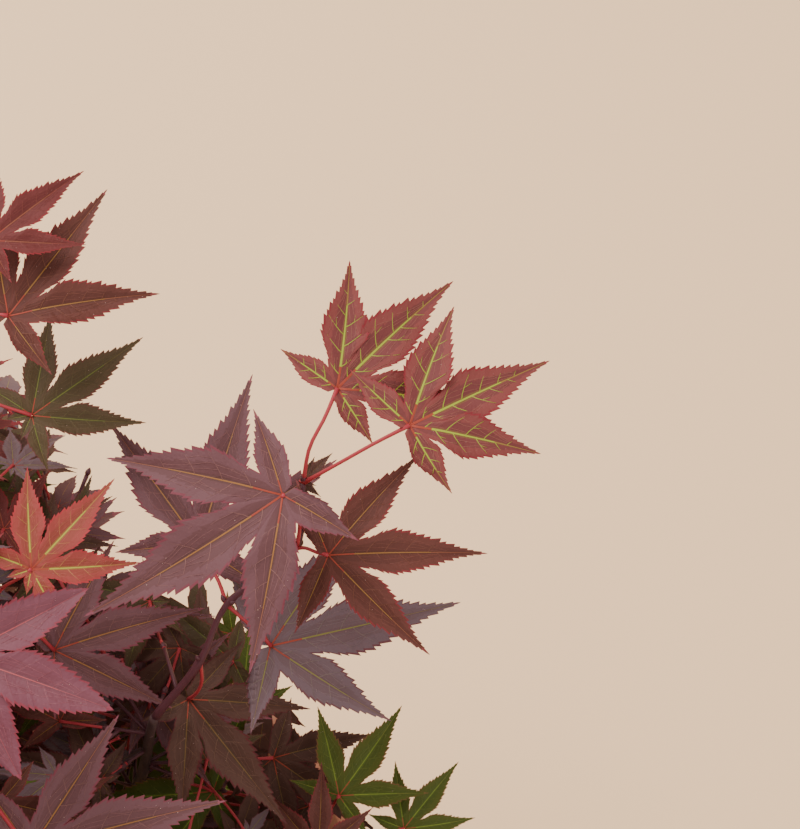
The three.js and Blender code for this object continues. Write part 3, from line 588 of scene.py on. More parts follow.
class Growth:
    """Everything that has grown so far: leaves, and limbs, twigs and petioles as straight rods."""

    ROOM = 4000

    def __init__(self):
        self.rims = np.zeros((self.ROOM, RIM_POINTS, 3))
        self.bases, self.ups, self.middles = (np.zeros((self.ROOM, 3)) for _ in range(3))
        self.reaches = np.zeros(self.ROOM)
        self.leaves = []
        self.froms, self.tos = (np.zeros((self.ROOM, 3)) for _ in range(2))
        self.radii = np.zeros(self.ROOM)
        self.owners = []
        self.proud = []

    def add_rod(self, start, end, radius, owner):
        index = len(self.owners)
        self.froms[index], self.tos[index], self.radii[index] = start, end, radius
        self.owners.append(owner)

    def add_leaf(self, leaf, owner):
        index = len(self.leaves)
        self.rims[index], self.bases[index], self.ups[index] = leaf.rim, leaf.base, leaf.up
        self.middles[index], self.reaches[index] = leaf.middle, leaf.reach
        self.leaves.append(leaf)
        if leaf.is_proud:
            self.proud.append((*as_seen(leaf.middle), leaf.length * PROUD_ROOM))
        self.add_rod(leaf.node, leaf.base + (leaf.node - leaf.base) * PETIOLE_END, PETIOLE_RADIUS, owner)

    def others(self, owner):
        return np.array([name != owner for name in self.owners], bool)

    def meets_leaves(self, leaf, gap):
        count = len(self.leaves)
        apart = np.linalg.norm(self.middles[:count] - leaf.middle, axis=1)
        near = np.flatnonzero(apart <= self.reaches[:count] + leaf.reach + gap)
        if not len(near):
            return False
        rims, bases, ups = self.rims[near], self.bases[near], self.ups[near]
        count = len(near)
        own_rims, own_bases = np.repeat(leaf.rim[None], count, 0), np.repeat(leaf.base[None], count, 0)
        if any_goes_through(*sheet_tests(own_rims, own_bases, ups, gap), fans(bases, rims)):
            return True
        starts, ends = sheet_tests(rims, bases, np.repeat(leaf.up[None], count, 0), gap)
        return any_goes_through(starts, ends, fans(leaf.base, leaf.rim)[None])

    def touch(self, leaf, rod, gap):
        """Whether leaves and rods meet, one of the two being a stack."""
        rim, base, up, middle, reach = leaf
        start, end, radius = rod
        room = radius + gap
        near = stretch_gap(start, end, middle, base) <= reach + room
        count = len(near)
        if not near.any():
            return False
        rim = np.broadcast_to(rim, (count, RIM_POINTS, 3))[near]
        base, up, start, end = (np.broadcast_to(rows, (count, 3))[near] for rows in (base, up, start, end))
        room = np.broadcast_to(room, count)[near]
        places = start[:, None] + (end - start)[:, None] * ROD_SHARES[:, None]
        lift = (up * room[:, None])[:, None]
        starts = np.concatenate([start[:, None], places - lift], axis=1)
        ends = np.concatenate([end[:, None], places + lift], axis=1)
        if any_goes_through(starts, ends, fans(base, rim)):
            return True
        edge = stretch_gap(start[:, None], end[:, None], rim, np.roll(rim, -1, axis=1))
        spoke = stretch_gap(start[:, None], end[:, None], base[:, None], rim)
        return bool((np.minimum(edge, spoke) < room[:, None]).any())

    def is_rod_near_leaf(self, start, end, radius, gap):
        count = len(self.leaves)
        if not count:
            return False
        leaves = (self.rims, self.bases, self.ups, self.middles, self.reaches)
        return self.touch([rows[:count] for rows in leaves], (start, end, radius), gap)

    def is_rod_near_others(self, start, end, radius, owner, gap):
        others = self.others(owner)
        count = len(self.owners)
        gaps = stretch_gap(self.froms[:count][others], self.tos[:count][others], start, end)
        return bool((gaps < self.radii[:count][others] + radius + gap).any())

    def is_rod_clear(self, start, end, radius, owner):
        if self.is_rod_near_leaf(start, end, radius, LIMB_GAP):
            return False
        return not self.is_rod_near_others(start, end, radius, owner, TWIG_GAP)

    def is_leaf_clear(self, leaf, owner, gap):
        if self.meets_leaves(leaf, gap):
            return False
        count = len(self.owners)
        own = (leaf.rim, leaf.base, leaf.up, leaf.middle, leaf.reach)
        limb_gap = min(gap, LIMB_GAP)
        if self.touch(own, (self.froms[:count], self.tos[:count], self.radii[:count]), limb_gap):
            return False
        if self.is_rod_near_leaf(leaf.node, leaf.base, PETIOLE_RADIUS, limb_gap):
            return False
        return not self.is_rod_near_others(leaf.node, leaf.base, PETIOLE_RADIUS, owner, CLEARANCE)

    def spoils_view(self, places, slack=0):
        """Whether any place would stand over the crown's edge or before a proud leaf."""
        places = np.atleast_2d(places)
        across, up, near = as_seen(places)
        counts = (across >= VIEW_LEFT - VIEW_MARGIN) & (up >= VIEW_FOOT - VIEW_MARGIN)
        if not counts.any():
            return False
        edge = np.array(CROWN_EDGE, float)
        slope = (edge[-1, 1] - edge[-2, 1]) / (edge[-1, 0] - edge[-2, 0])
        first_slope = (edge[1, 1] - edge[0, 1]) / (edge[1, 0] - edge[0, 0])
        height = np.interp(across, edge[:, 0], edge[:, 1])
        height = np.where(across > edge[-1, 0], edge[-1, 1] + slope * (across - edge[-1, 0]), height)
        height = np.where(across < edge[0, 0], edge[0, 1] + first_slope * (across - edge[0, 0]), height)
        if (counts & (up > height + slack)).any():
            return True
        if not self.proud:
            return False
        leaf_across, leaf_up, leaf_near, room = np.array(self.proud).T[:, :, None]
        is_over = (near > leaf_near - PROUD_DEPTH) & (np.hypot(across - leaf_across, up - leaf_up) < room)
        return bool((counts & is_over).any())


def is_in_crown(places):
    places = np.atleast_2d(places)
    away = (places - CROWN_CENTRE) / CROWN_REACH
    return bool((np.linalg.norm(away, axis=1) < 1).all() and (places[:, 2] > CROWN_FOOT).all())


class Twig:
    """A twig through its nodes. The first way is its bough's, or its own where it bears leaves."""

    def __init__(self, points, radius, first_way=None):
        self.points = points
        self.radius = radius
        self.first_way = first_way
        self.has_leaves = first_way is not None


class Mass:
    """The foliage of one bough: its twigs and leaves."""

    def __init__(self, bough, seed):
        self.bough = bough
        self.seed = seed
        self.owner = f"foliage_{bough.name}"
        self.twigs = []
        self.leaves = []

    def take(self, growth, leaf):
        self.leaves.append(leaf)
        growth.add_leaf(leaf, self.owner)

    def take_on_twiglet(self, growth, leaf, root, way):
        self.twigs.append(Twig([root, leaf.node], FINE_TWIG_RADIUS, way))
        self.take(growth, leaf)


def bough_end(bough):
    way = bough.route.way(1)
    return bough.route.point(1) + way * CLEARANCE, way


def rule_twig(growth, mass, attempt):
    """The points of a twig that grows outward from its bough, as far as nothing is in its way."""
    place, way = bough_end(mass.bough)
    outward = unit(place - CROWN_CENTRE)
    points = [place]
    heading = unit(way + outward)
    for node in range(1, TWIG_NODES + 1):
        rolls = [chance(mass.seed, attempt, node, number) for number in range(1, 5)]
        heading = unit(heading + outward * TWIG_OUTWARD + (np.array(rolls[:3]) - 0.5) * TWIG_WANDER)
        step = (FIRST_STEP if node == 1 else NODE_STEP) * rolled(TWIG_STRETCH, rolls[3])
        following = points[-1] + heading * step
        if node > 1:
            if not is_in_crown(following) or growth.spoils_view(following):
                break
            if not growth.is_rod_clear(points[-1], following, TWIG_RADIUS, mass.owner):
                break
        points.append(following)
    return points


def grow_mass(growth, bough, seed):
    """The first twig of a bough, with its leaves where the photo shows them."""
    mass = Mass(bough, seed)
    shoot = PROUD_SHOOTS.get(bough.name)
    place, way = bough_end(bough)
    if shoot:
        points = [place, *(seen(*point) for point in shoot["twig"])]
    else:
        points = max((rule_twig(growth, mass, attempt) for attempt in range(TWIG_TRIES)), key=len)
    mass.twigs.append(Twig(points, TWIG_RADIUS, way))
    for start, end in zip(points, points[1:]):
        growth.add_rod(start, end, TWIG_RADIUS, mass.owner)
    for node, across, up, near, turn, length, tint, *lobes in (shoot["leaves"] if shoot else ()):
        leaf = seen_leaf(across, up, near, turn, length, points[node + 1], tint, *lobes)
        mass.take(growth, leaf)
    return mass


def level_side(way):
    return unit(cross(Z, way))


def add_side_twigs(growth, mass):
    """A pair of level twigs at each inner node, where there is room."""
    points = mass.twigs[0].points
    for node in range(1, len(points) - 1):
        way = unit(points[node + 1] - points[node - 1])
        for sign in (1, -1):
            rise = SIDE_TWIG_RISE * (chance(mass.seed, node, sign + 5, 9) - SIDE_TWIG_DIP)
            heading = unit(level_side(way) * sign * SIDE_TWIG_ASIDE + way * SIDE_TWIG_FORWARD + Z * rise)
            length = NODE_STEP * rolled(SIDE_TWIG_STRETCH, chance(mass.seed, node, sign + 5, 10))
            root = points[node] + way * SIDE_TWIG_AHEAD
            tip = root + heading * length
            if not is_in_crown(tip) or growth.spoils_view(tip):
                continue
            if not growth.is_rod_clear(root, tip, SIDE_TWIG_RADIUS, mass.owner):
                continue
            mass.twigs.append(Twig([root, tip], SIDE_TWIG_RADIUS))
            growth.add_rod(root, tip, SIDE_TWIG_RADIUS, mass.owner)


def rule_leaf(growth, owner, node, way, lateral, keys, is_fine=False):
    """One leaf of a pair, on the side of the twig that lateral points to, or None without room."""
    outward = unit(node - CROWN_CENTRE)
    petioles, lengths = (FINE_PETIOLE_LENGTH, FINE_LEAF_LENGTH) if is_fine else (PETIOLE_LENGTH, LEAF_LENGTH)
    for attempt in range(FINE_TRIES if is_fine else TRIES):
        rolls = [chance(*keys, attempt, number) for number in range(8)]
        reach = lateral * LEAF_ASIDE + way * rolled(LEAF_AHEAD, rolls[1]) + outward * LEAF_OUTWARD
        reach = reach + Z * rolled(LEAF_LIFT, rolls[2])
        reach = unit(turned(reach, way, (rolls[3] - 0.5) * LEAF_SWING))
        length = between(lengths, rolls[5]) * (1 - SHRINK_PER_TRY * attempt)
        normal = Z + outward * LEAF_TILT + np.array([rolls[6] - 0.5, rolls[7] - 0.5, 0]) * LEAF_SWAY
        base = node + reach * between(petioles, rolls[4])
        leaf = Leaf(base, normal, reach * LEAF_LEVEL, length, node)
        if not is_in_crown(leaf.rim) or growth.spoils_view(leaf.rim) or growth.spoils_view(base):
            continue
        if growth.is_leaf_clear(leaf, owner, FINE_GAP if is_fine else LEAF_GAP):
            return leaf
    return None


def pair_side(way, node):
    """The side that a pair of leaves takes: level at one node, upright at the next."""
    level = level_side(way)
    return level if node % 2 == 0 else cross(way, level)


def add_leaves(growth, mass):
    """A pair of leaves at each node, from the tip back, as far as there is room."""
    for number, twig in enumerate(mass.twigs):
        for node in range(len(twig.points) - 1, 0, -1):
            way = unit(twig.points[node] - twig.points[node - 1])
            for sign in (1, -1):
                if len(mass.leaves) >= LEAVES_PER_MASS:
                    return
                lateral = pair_side(way, node + number) * sign
                keys = (mass.seed, number, node, sign + 5)
                leaf = rule_leaf(growth, mass.owner, twig.points[node], way, lateral, keys)
                if leaf is not None:
                    twig.has_leaves = True
                    mass.take(growth, leaf)


def add_twiglets(growth, mass, places, length, most):
    """A twiglet with a small leaf on both sides of each place, as far as there is room."""
    added = 0
    for root, way, node, keys in places:
        for sign in (1, -1):
            if added >= most:
                return
            lateral = pair_side(way, node) * sign
            tip = root + unit(lateral + way * FINE_TWIG_AHEAD) * length
            leaf = rule_leaf(growth, mass.owner, tip, way, lateral, (mass.seed, *keys, sign + 5), True)
            if leaf is not None:
                mass.take_on_twiglet(growth, leaf, root, way)
                added += 1


def twig_places(mass):
    """Places between the nodes of the twigs that bear leaves, from the tip back."""
    for number, twig in enumerate(mass.twigs):
        if not twig.has_leaves:
            continue
        for node in range(len(twig.points) - 1, 0, -1):
            start, end = twig.points[node - 1], twig.points[node]
            for place, share in enumerate(FINE_SHARES):
                root = start + (end - start) * share
                yield root, unit(end - start), node + number + place, (number, node, place + 20)


def bough_places(mass):
    """Places on the outer half of the bough itself."""
    route = mass.bough.route
    for number, share in enumerate(BOUGH_SHARES):
        yield route.point(share), route.way(share), number, (90, number)


def seen_leaf(across, up, near, turn, length, node, tint=None, lobes=None):
    """A leaf that faces up and to the view, with its base and heading given as they look."""
    turn = math.radians(turn)
    normal = unit(NEAR + Z + ACROSS * SEEN_TILT * math.sin(turn * 3))
    flat = ACROSS * math.cos(turn) + UP * math.sin(turn)
    heading = flat - NEAR * (flat @ normal) / (NEAR @ normal)
    shrink = 1 - near / VIEW_DISTANCE
    return Leaf(seen(across, up, near), normal, heading, length * shrink, node, tint, lobes)


def under_leaf(growth, mass, roots, number):
    """A leaf at a place below the first shoot, with its twiglet's root, or None without room."""
    across, up, slack, tint = UNDER_PLACES[number]
    first = chance(mass.seed, number, 80) * 360
    for near in UNDER_DEPTHS:
        base = seen(across, up, near)
        root = min(roots, key=lambda place: np.linalg.norm(place - base))
        if np.linalg.norm(root - base) > UNDER_STALK:
            continue
        tip = root + (base - root) * UNDER_TWIGLET
        if growth.is_rod_near_leaf(root, tip, FINE_TWIG_RADIUS, FINE_GAP):
            continue
        for step in range(UNDER_TURNS):
            length = UNDER_LENGTH * (1 - SHRINK_PER_TRY * step)
            leaf = seen_leaf(across, up, near, first + step * 360 / UNDER_TURNS, length, tip)
            if not is_in_crown(leaf.rim) or growth.spoils_view(leaf.rim, slack):
                continue
            if growth.is_leaf_clear(leaf, mass.owner, FINE_GAP):
                leaf.tint = tint
                return root, leaf
    return None


def add_under_leaves(growth, mass):
    """The leaves that show below the first shoot, each on a twiglet from the nearest part of its bough."""
    roots = [mass.bough.route.point(share) for share in UNDER_ROOTS]
    points = mass.twigs[0].points
    for start, end in zip(points, points[1:]):
        roots += [start + (end - start) * share for share in (0.5, 1)]
    for number in range(len(UNDER_PLACES)):
        made = under_leaf(growth, mass, roots, number)
        if made:
            root, leaf = made
            mass.take_on_twiglet(growth, leaf, root, unit(leaf.node - root))


def is_in_view(leaf):
    across, up, near = as_seen(leaf.base)
    return abs(across) < VIEW_HALF and abs(up) < VIEW_HALF and near > VIEW_DEPTH


@functools.cache
def plant():
    """The limbs, and the foliage masses with their twigs and leaves, grown once."""
    limbs = grow_limbs()
    growth = Growth()
    for limb in limbs:
        count = limb.steps * 2
        places = [limb.route.point(step / count) for step in range(count + 1)]
        for step in range(count):
            growth.add_rod(places[step], places[step + 1], limb.radius(step / count), limb.name)
    seeds = {bough.name: index + 1 for index, bough in enumerate(limbs[1:])}
    in_turn = sorted(limbs[1:], key=lambda bough: bough.name not in PROUD_SHOOTS)
    masses = [grow_mass(growth, bough, seeds[bough.name]) for bough in in_turn]
    for mass in masses:
        add_side_twigs(growth, mass)
    for mass in masses:
        add_leaves(growth, mass)
    first = next(mass for mass in masses if mass.bough.name == "bough_1")
    add_under_leaves(growth, first)
    for mass in masses:
        add_twiglets(growth, mass, list(twig_places(mass)), FINE_TWIG_LENGTH, FINE_LEAVES_PER_MASS)
        add_twiglets(growth, mass, bough_places(mass), BOUGH_TWIG_LENGTH, BOUGH_LEAVES)
    # The unfolding leaves take the deep tint, which is painted shade.
    for place in BUD_LEAVES:
        first.leaves.append(seen_leaf(*place, first.twigs[0].points[-1], "deep", BUD_LOBES))
    for mass in masses:
        for leaf in mass.leaves:
            leaf.is_finest = leaf.is_proud or is_in_view(leaf)
    return limbs, masses


TINT = {"size": 3, "subtype": "COLOR", "min": 0, "max": 1}


class Tints(bpy.types.PropertyGroup):
    """The base colours of the plant and its pot."""

    clay: bpy.props.FloatVectorProperty(
        name="Clay", description="Colour of the fired clay", default=(0.36, 0.135, 0.072), **TINT,
    )
    bloom: bpy.props.FloatVectorProperty(
        name="Bloom", description="Pale mineral bloom on the clay", default=(0.6, 0.46, 0.38), **TINT,
    )
    bark: bpy.props.FloatVectorProperty(
        name="Bark", description="Colour of the trunk's bark", default=(0.105, 0.075, 0.058), **TINT,
    )
    twig: bpy.props.FloatVectorProperty(
        name="Twig", description="Colour of the young twigs", default=(0.075, 0.018, 0.024), **TINT,
    )
    petiole: bpy.props.FloatVectorProperty(
        name="Petiole", description="Colour of the leaf stalks", default=(0.34, 0.03, 0.038), **TINT,
    )
    moss: bpy.props.FloatVectorProperty(
        name="Moss", description="Colour of the moss", default=(0.13, 0.17, 0.025), **TINT,
    )
    floor: bpy.props.FloatVectorProperty(
        name="Floor", description="Colour of the plain floor", default=(0.96, 0.63, 0.36), **TINT,
    )


class LeafSizes(bpy.types.PropertyGroup):
    """How finely the leaves are cut."""

    thickness: bpy.props.FloatProperty(
        name="Thickness", description="Thickness of the blade", default=0.28 * MM,
        min=0.05 * MM, max=1 * MM, unit="LENGTH", precision=5,
    )
    finest_teeth: bpy.props.IntProperty(
        name="Finest teeth", description="Teeth on each side of the best seen lobes",
        default=18, min=4, max=32,
    )
    teeth: bpy.props.IntProperty(
        name="Teeth", description="Teeth on each side of the other lobes", default=6, min=3, max=16,
    )
    tooth_height: bpy.props.FloatProperty(
        name="Tooth height", description="Height of a tooth as a share of its lobe", default=0.0185,
        min=0, max=0.1, subtype="FACTOR",
    )


class StageSizes(bpy.types.PropertyGroup):
    """The floor, the lamps and the camera."""

    floor_reach: bpy.props.FloatProperty(
        name="Floor reach", description="Half of the floor's side", default=40, min=1, max=50, unit="LENGTH",
    )
    lens: bpy.props.FloatProperty(
        name="Lens", description="Focal length of the camera", default=75.3, min=10, max=300, unit="CAMERA",
    )
    key_power: bpy.props.FloatProperty(
        name="Key power", description="Power of the large lamp", default=74, min=0, max=1000, unit="POWER",
    )
    sky: bpy.props.FloatProperty(
        name="Sky", description="Strength of the light from all round", default=0.85, min=0, max=10,
    )


def tone(red, green, blue):
    """A colour from its screen values, 0 to 255, as the linear values that a shader takes."""
    def linear(value):
        value /= 255
        return value / 12.92 if value <= 0.04045 else ((value + 0.055) / 1.055) ** 2.4
    return (linear(red), linear(green), linear(blue))


# Each tint of leaf: its slot in the record, and the screen colours of its zones
LEAF_TINTS = {
    "young": {
        "slot": "leaf_maroon", "blade": (119, 58, 54), "middle": (106, 52, 50), "inner": (111, 74, 48),
        "margin": (124, 42, 46), "tip": (128, 50, 52), "vein": (150, 156, 46), "side": (140, 144, 44),
        "net": (132, 78, 66), "under": (146, 88, 74),
    },
    "plum": {
        "slot": "leaf_plum", "blade": (100, 64, 67), "middle": (92, 57, 58), "inner": (84, 52, 50),
        "margin": (111, 54, 62), "tip": (124, 65, 75), "vein": (142, 94, 50), "side": (119, 78, 73),
        "net": (113, 72, 71), "under": (120, 86, 84),
    },
    "purple": {
        "slot": "leaf_purple", "blade": (103, 80, 84), "middle": (99, 75, 77), "inner": (96, 70, 72),
        "margin": (102, 58, 62), "tip": (112, 74, 80), "vein": (124, 114, 56), "side": (118, 97, 89),
        "net": (113, 89, 90), "under": (120, 92, 94),
    },
    "red_brown": {
        "slot": "leaf_red_brown", "blade": (91, 49, 42), "middle": (83, 44, 37), "inner": (78, 42, 33),
        "margin": (118, 42, 44), "tip": (122, 56, 58), "vein": (138, 94, 46), "side": (110, 64, 48),
        "net": (104, 59, 49), "under": (132, 84, 74),
    },
    "crimson": {
        "slot": "leaf_red_brown", "blade": (100, 45, 43), "middle": (93, 40, 38), "inner": (92, 42, 36),
        "margin": (128, 40, 44), "tip": (130, 48, 52), "vein": (134, 74, 52), "side": (118, 58, 50),
        "net": (113, 54, 49), "under": (150, 84, 76),
    },
    "coral": {
        "slot": "leaf_coral", "blade": (138, 58, 52), "middle": (130, 58, 48), "inner": (134, 88, 48),
        "margin": (156, 50, 52), "tip": (144, 48, 54), "vein": (160, 150, 56), "side": (154, 96, 58),
        "net": (150, 76, 62), "under": (166, 106, 88),
    },
    "rose": {
        "slot": "leaf_purple", "blade": (107, 54, 65), "middle": (103, 50, 60), "inner": (97, 46, 55),
        "margin": (123, 42, 54), "tip": (118, 45, 58), "vein": (156, 64, 66), "side": (127, 61, 69),
        "net": (124, 62, 70), "under": (144, 94, 102),
    },
    # The deep tint is painted shade: darker copies of the leaf colours, for leaves that stand in shade.
    "deep": {
        "slot": "leaf_plum", "blade": (79, 51, 42), "middle": (74, 47, 38), "inner": (70, 48, 36),
        "margin": (84, 36, 36), "tip": (84, 40, 40), "vein": (106, 76, 42), "side": (103, 71, 54),
        "net": (92, 62, 49), "under": (84, 60, 54),
    },
    "olive": {
        "slot": "leaf_bronze", "blade": (79, 61, 42), "middle": (74, 58, 38), "inner": (72, 62, 38),
        "margin": (98, 52, 46), "tip": (98, 56, 48), "vein": (104, 104, 46), "side": (94, 80, 50),
        "net": (88, 72, 47), "under": (92, 86, 60),
    },
    "bronze": {
        "slot": "leaf_bronze", "blade": (70, 73, 24), "middle": (66, 72, 24), "inner": (74, 84, 28),
        "margin": (98, 66, 36), "tip": (100, 72, 38), "vein": (118, 128, 42), "side": (94, 98, 38),
        "net": (85, 89, 33), "under": (98, 98, 52),
    },
}

# What else tells the leaves apart, with the breadth and the sheen of the tints that aren't named
ROOT_COLOUR = (146, 60, 44)
SPECK_COLOUR = (186, 150, 138)
ZONES = ("blade", "middle", "inner", "margin", "tip", "vein", "side", "net", "under", "end", "root", "speck")
ZONE = {zone: number for number, zone in enumerate(ZONES)}
BRIGHT_TINTS = ("young", "coral")
BREADTH = 0.97
BREADTHS = {"young": 1.12, "coral": 1.05, "rose": 1.12}
FULLNESS = {"rose": 0.8}
SHEEN = 0.15
SHEENS = {"rose": 0.32, "purple": 0.2}
PROUD_DROOP = 0.4
NET_FROM = 30
PLAIN_FORMS = 14
SPECKS = 14

# Where the trunk's bark changes to the boughs', in metres from the fork
FORK_BARK = (0.028, 0.1)

# The relief of a blade, its veins and its webs, as shares of the leaf's length
BLADE_FOLD = 0.03
BLADE_WAVE = 0.1
YOUNG_VEIN = 0.0082
DARK_VEIN = 0.0046
NET_VEIN = 0.0013
NET_LINKS = (0.26, 0.54, 0.8)
WEB_DEPTH = 0.215
BASE_WEB_DEPTH = 0.14
SMALL_WEB_DEPTH = 0.09
LOBE_RISE = 0.014
VEIN_FOOT = 0.001
VEIN_SLOPE = 0.4
ROOT_UNTIL = 0.14
RIB_UNTIL = 0.66
SIDE_REACH = 0.78

# How a leaf stalk runs: its bends, bow and swing as shares of its length, and its end over the base
STALK_BENDS = (0.35, 0.7)
STALK_BOW = (0.03, 0.1)
STALK_SWING = 0.12
STALK_TOP = 0.3

# The tints of the leaves that are not placed one by one: by mass, in the shade, and low on the crown
MASS_TINTS = ("plum", "red_brown", "purple", "plum", "crimson")
SHADED_MASSES = ("leader_inner", "leader_deep")
# In the shaded masses the deep tint is painted shade; olive and bronze are the greener colour that shaded
# leaves really have.
SHADED_TINTS = ("bronze", "olive", "olive", "deep", "deep")
LOW_TINTS = ("bronze", "olive", "red_brown", "plum", "crimson")
LOW_FROM = 0.4
ODD_TINTS = 0.2


class Value:
    """A socket of a material's nodes with arithmetic: each operator adds its Math node."""

    def __init__(self, paint, socket):
        self.paint = paint
        self.socket = socket

    def math(self, operation, *others):
        return self.paint.node("ShaderNodeMath", {"operation": operation}, [self, *others])

    def __add__(self, other):
        return self.math("ADD", other)

    def __sub__(self, other):
        return self.math("SUBTRACT", other)

    def __rsub__(self, other):
        return self.paint.node("ShaderNodeMath", {"operation": "SUBTRACT"}, [other, self])

    def __mul__(self, other):
        return self.math("MULTIPLY", other)

    def __pow__(self, other):
        return self.math("POWER", other)

    __radd__ = __add__
    __rmul__ = __mul__

    def ramp(self, low, high):
        """0 up to low, 1 from high, and smooth between."""
        return self.paint.node(
            "ShaderNodeMapRange", {"interpolation_type": "SMOOTHSTEP"},
            {"Value": self, "From Min": low, "From Max": high},
        )


class Paint:
    """A material with one Principled shader, whose other nodes come from node()."""

    def __init__(self, name, colour, roughness, **sockets):
        self.material = bpy.data.materials.new(name)
        self.material.use_nodes = True
        self.tree = self.material.node_tree
        self.shader = self.tree.nodes["Principled BSDF"]
        self.set("Base Color", colour)
        self.set("Roughness", roughness)
        for socket, value in sockets.items():
            self.set(socket.replace("_", " ").title().replace("Ior", "IOR"), value)

    def set(self, socket, value):
        self.feed(self.shader.inputs[socket], value)

    def feed(self, target, value):
        """Links a value to a socket, or sets the socket to it."""
        if isinstance(value, Value):
            self.tree.links.new(value.socket, target)
        elif target.type == "RGBA":
            target.default_value = (*value[:3], 1)
        else:
            target.default_value = value

    def node(self, kind, settings=None, inputs=None, output=0):
        """A node with its settings, and its inputs by name or in their order, read from one output."""
        made = self.tree.nodes.new(kind)
        for name, setting in (settings or {}).items():
            setattr(made, name, setting)
        pairs = inputs.items() if isinstance(inputs, dict) else enumerate(inputs or [])
        for name, value in pairs:
            self.feed(made.inputs[name], value)
        return Value(self, made.outputs[output])

    def object_place(self, scale=(1, 1, 1)):
        place = self.node("ShaderNodeTexCoord", output="Object")
        return self.node("ShaderNodeMapping", inputs={"Vector": place, "Scale": scale})

    def grain(self, place, scale, detail=3.0, roughness=0.5):
        inputs = {"Vector": place, "Scale": scale, "Detail": detail, "Roughness": roughness}
        return self.node("ShaderNodeTexNoise", inputs=inputs)

    def cells(self, place, scale):
        return self.node("ShaderNodeTexVoronoi", inputs={"Vector": place, "Scale": scale})

    def blend(self, share, one, other):
        """A colour between two, through the three colour sockets of a Mix node."""
        factor, first, second, result = 0, 6, 7, 2
        inputs = {factor: share, first: one, second: other}
        return self.node("ShaderNodeMix", {"data_type": "RGBA"}, inputs, result)

    def bump(self, height, distance, strength=1.0):
        inputs = {"Height": height, "Distance": distance, "Strength": strength}
        self.set("Normal", self.node("ShaderNodeBump", inputs=inputs))


def shade(colour, share):
    return tuple(value * share for value in colour)


def clay_paint(tints):
    paint = Paint("terracotta", tints.clay, 0.9, specular_ior_level=0.25)
    place = paint.object_place()
    patches = paint.grain(place, 14, 4, 0.6)
    height = paint.node("ShaderNodeSeparateXYZ", inputs={"Vector": place}, output="Z")
    near_foot = 1 - height.ramp(0.0, 0.05)
    near_rim = height.ramp(0.125, 0.17)
    bloom = (patches.ramp(0.54, 0.78) * 0.34 + near_foot * patches.ramp(0.38, 0.66) * 0.4
             + near_rim * patches.ramp(0.45, 0.66) * 0.26)
    darker = shade(tints.clay, 0.72)
    mottled = paint.blend(paint.grain(place, 46, 3, 0.6).ramp(0.35, 0.7), darker, tints.clay)
    paint.set("Base Color", paint.blend(bloom, mottled, tints.bloom))
    speckle = paint.grain(place, 900, 2, 0.6)
    rings = paint.grain(paint.object_place((1, 1, 26)), 9, 3, 0.6)
    pits = paint.cells(place, 420).ramp(0.05, 0.32)
    paint.set("Roughness", 0.98 - patches * 0.14)
    paint.bump(speckle * 0.35 + rings * 0.9 + pits * 0.5, 0.0005, 0.8)
    return paint.material


def bark_colour(paint, colour, streak, streaks, fine, pores):
    light = tuple(min(value * 2.3 + 0.03, 1) for value in colour)
    mixed = paint.blend(streaks.ramp(0.34, 0.66), shade(colour, 0.55), colour)
    mixed = paint.blend(fine.ramp(0.55, 0.75) * 0.5, mixed, streak)
    return paint.blend(pores * 0.6, mixed, light)


def bark_paint(name, colours, scale, fork=None):
    """Bark in its colour and its streaks'. With a fork, it changes to a second pair away from it."""
    paint = Paint(name, colours[0][0], 0.75, specular_ior_level=0.3)
    place = paint.object_place((scale, scale, scale * 0.16))
    streaks = paint.grain(place, 60, 5, 0.65)
    fine = paint.grain(place, 240, 3, 0.6)
    even = paint.object_place()
    pores = 1 - paint.cells(even, 190).ramp(0.08, 0.2)
    barks = [bark_colour(paint, *pair, streaks, fine, pores) for pair in colours]
    if fork is not None:
        away = paint.node("ShaderNodeVectorMath", {"operation": "DISTANCE"}, [even, fork], "Value")
        barks[0] = paint.blend(away.ramp(*FORK_BARK), *barks)
    paint.set("Base Color", barks[0])
    paint.set("Roughness", 0.6 + streaks * 0.3)
    paint.bump(streaks * 1.0 + fine * 0.35 + pores * 0.5, 0.0006, 0.9)
    return paint.material


def twig_paint(tints):
    paint = Paint("twig_bark", tints.twig, 0.52, specular_ior_level=0.3)
    place = paint.object_place((1, 1, 0.4))
    paint.bump(paint.grain(place, 900, 3, 0.6) + paint.grain(place, 260, 2, 0.5), 0.0002, 0.6)
    return paint.material


def grained_paint(name, colour, roughness, scale, distance, strength):
    """One colour with a fine grain."""
    paint = Paint(name, colour, roughness, specular_ior_level=0.25)
    paint.bump(paint.grain(paint.object_place(), scale, 2), distance, strength)
    return paint.material


def petiole_paint(tints):
    return grained_paint("crimson_stalk", tints.petiole, 0.5, 1100, 0.0001, 0.5)


def moss_paint(name, colour):
    return grained_paint(name, colour, 0.85, 1400, 0.0002, 0.6)


def soil_paint(tints):
    paint = Paint("mossy_soil", tints.moss, 0.95, specular_ior_level=0.2)
    place = paint.object_place()
    crumbs = paint.cells(place, 330)
    damp = paint.grain(place, 60, 4, 0.6)
    earth = paint.blend(crumbs.ramp(0.1, 0.6), (0.018, 0.011, 0.007), (0.06, 0.038, 0.024))
    green = shade(tints.moss, 0.5)
    paint.set("Base Color", paint.blend(damp.ramp(0.36, 0.52), earth, green))
    paint.bump(crumbs * 0.8 + paint.grain(place, 520, 4, 0.6), 0.0012, 0.9)
    return paint.material


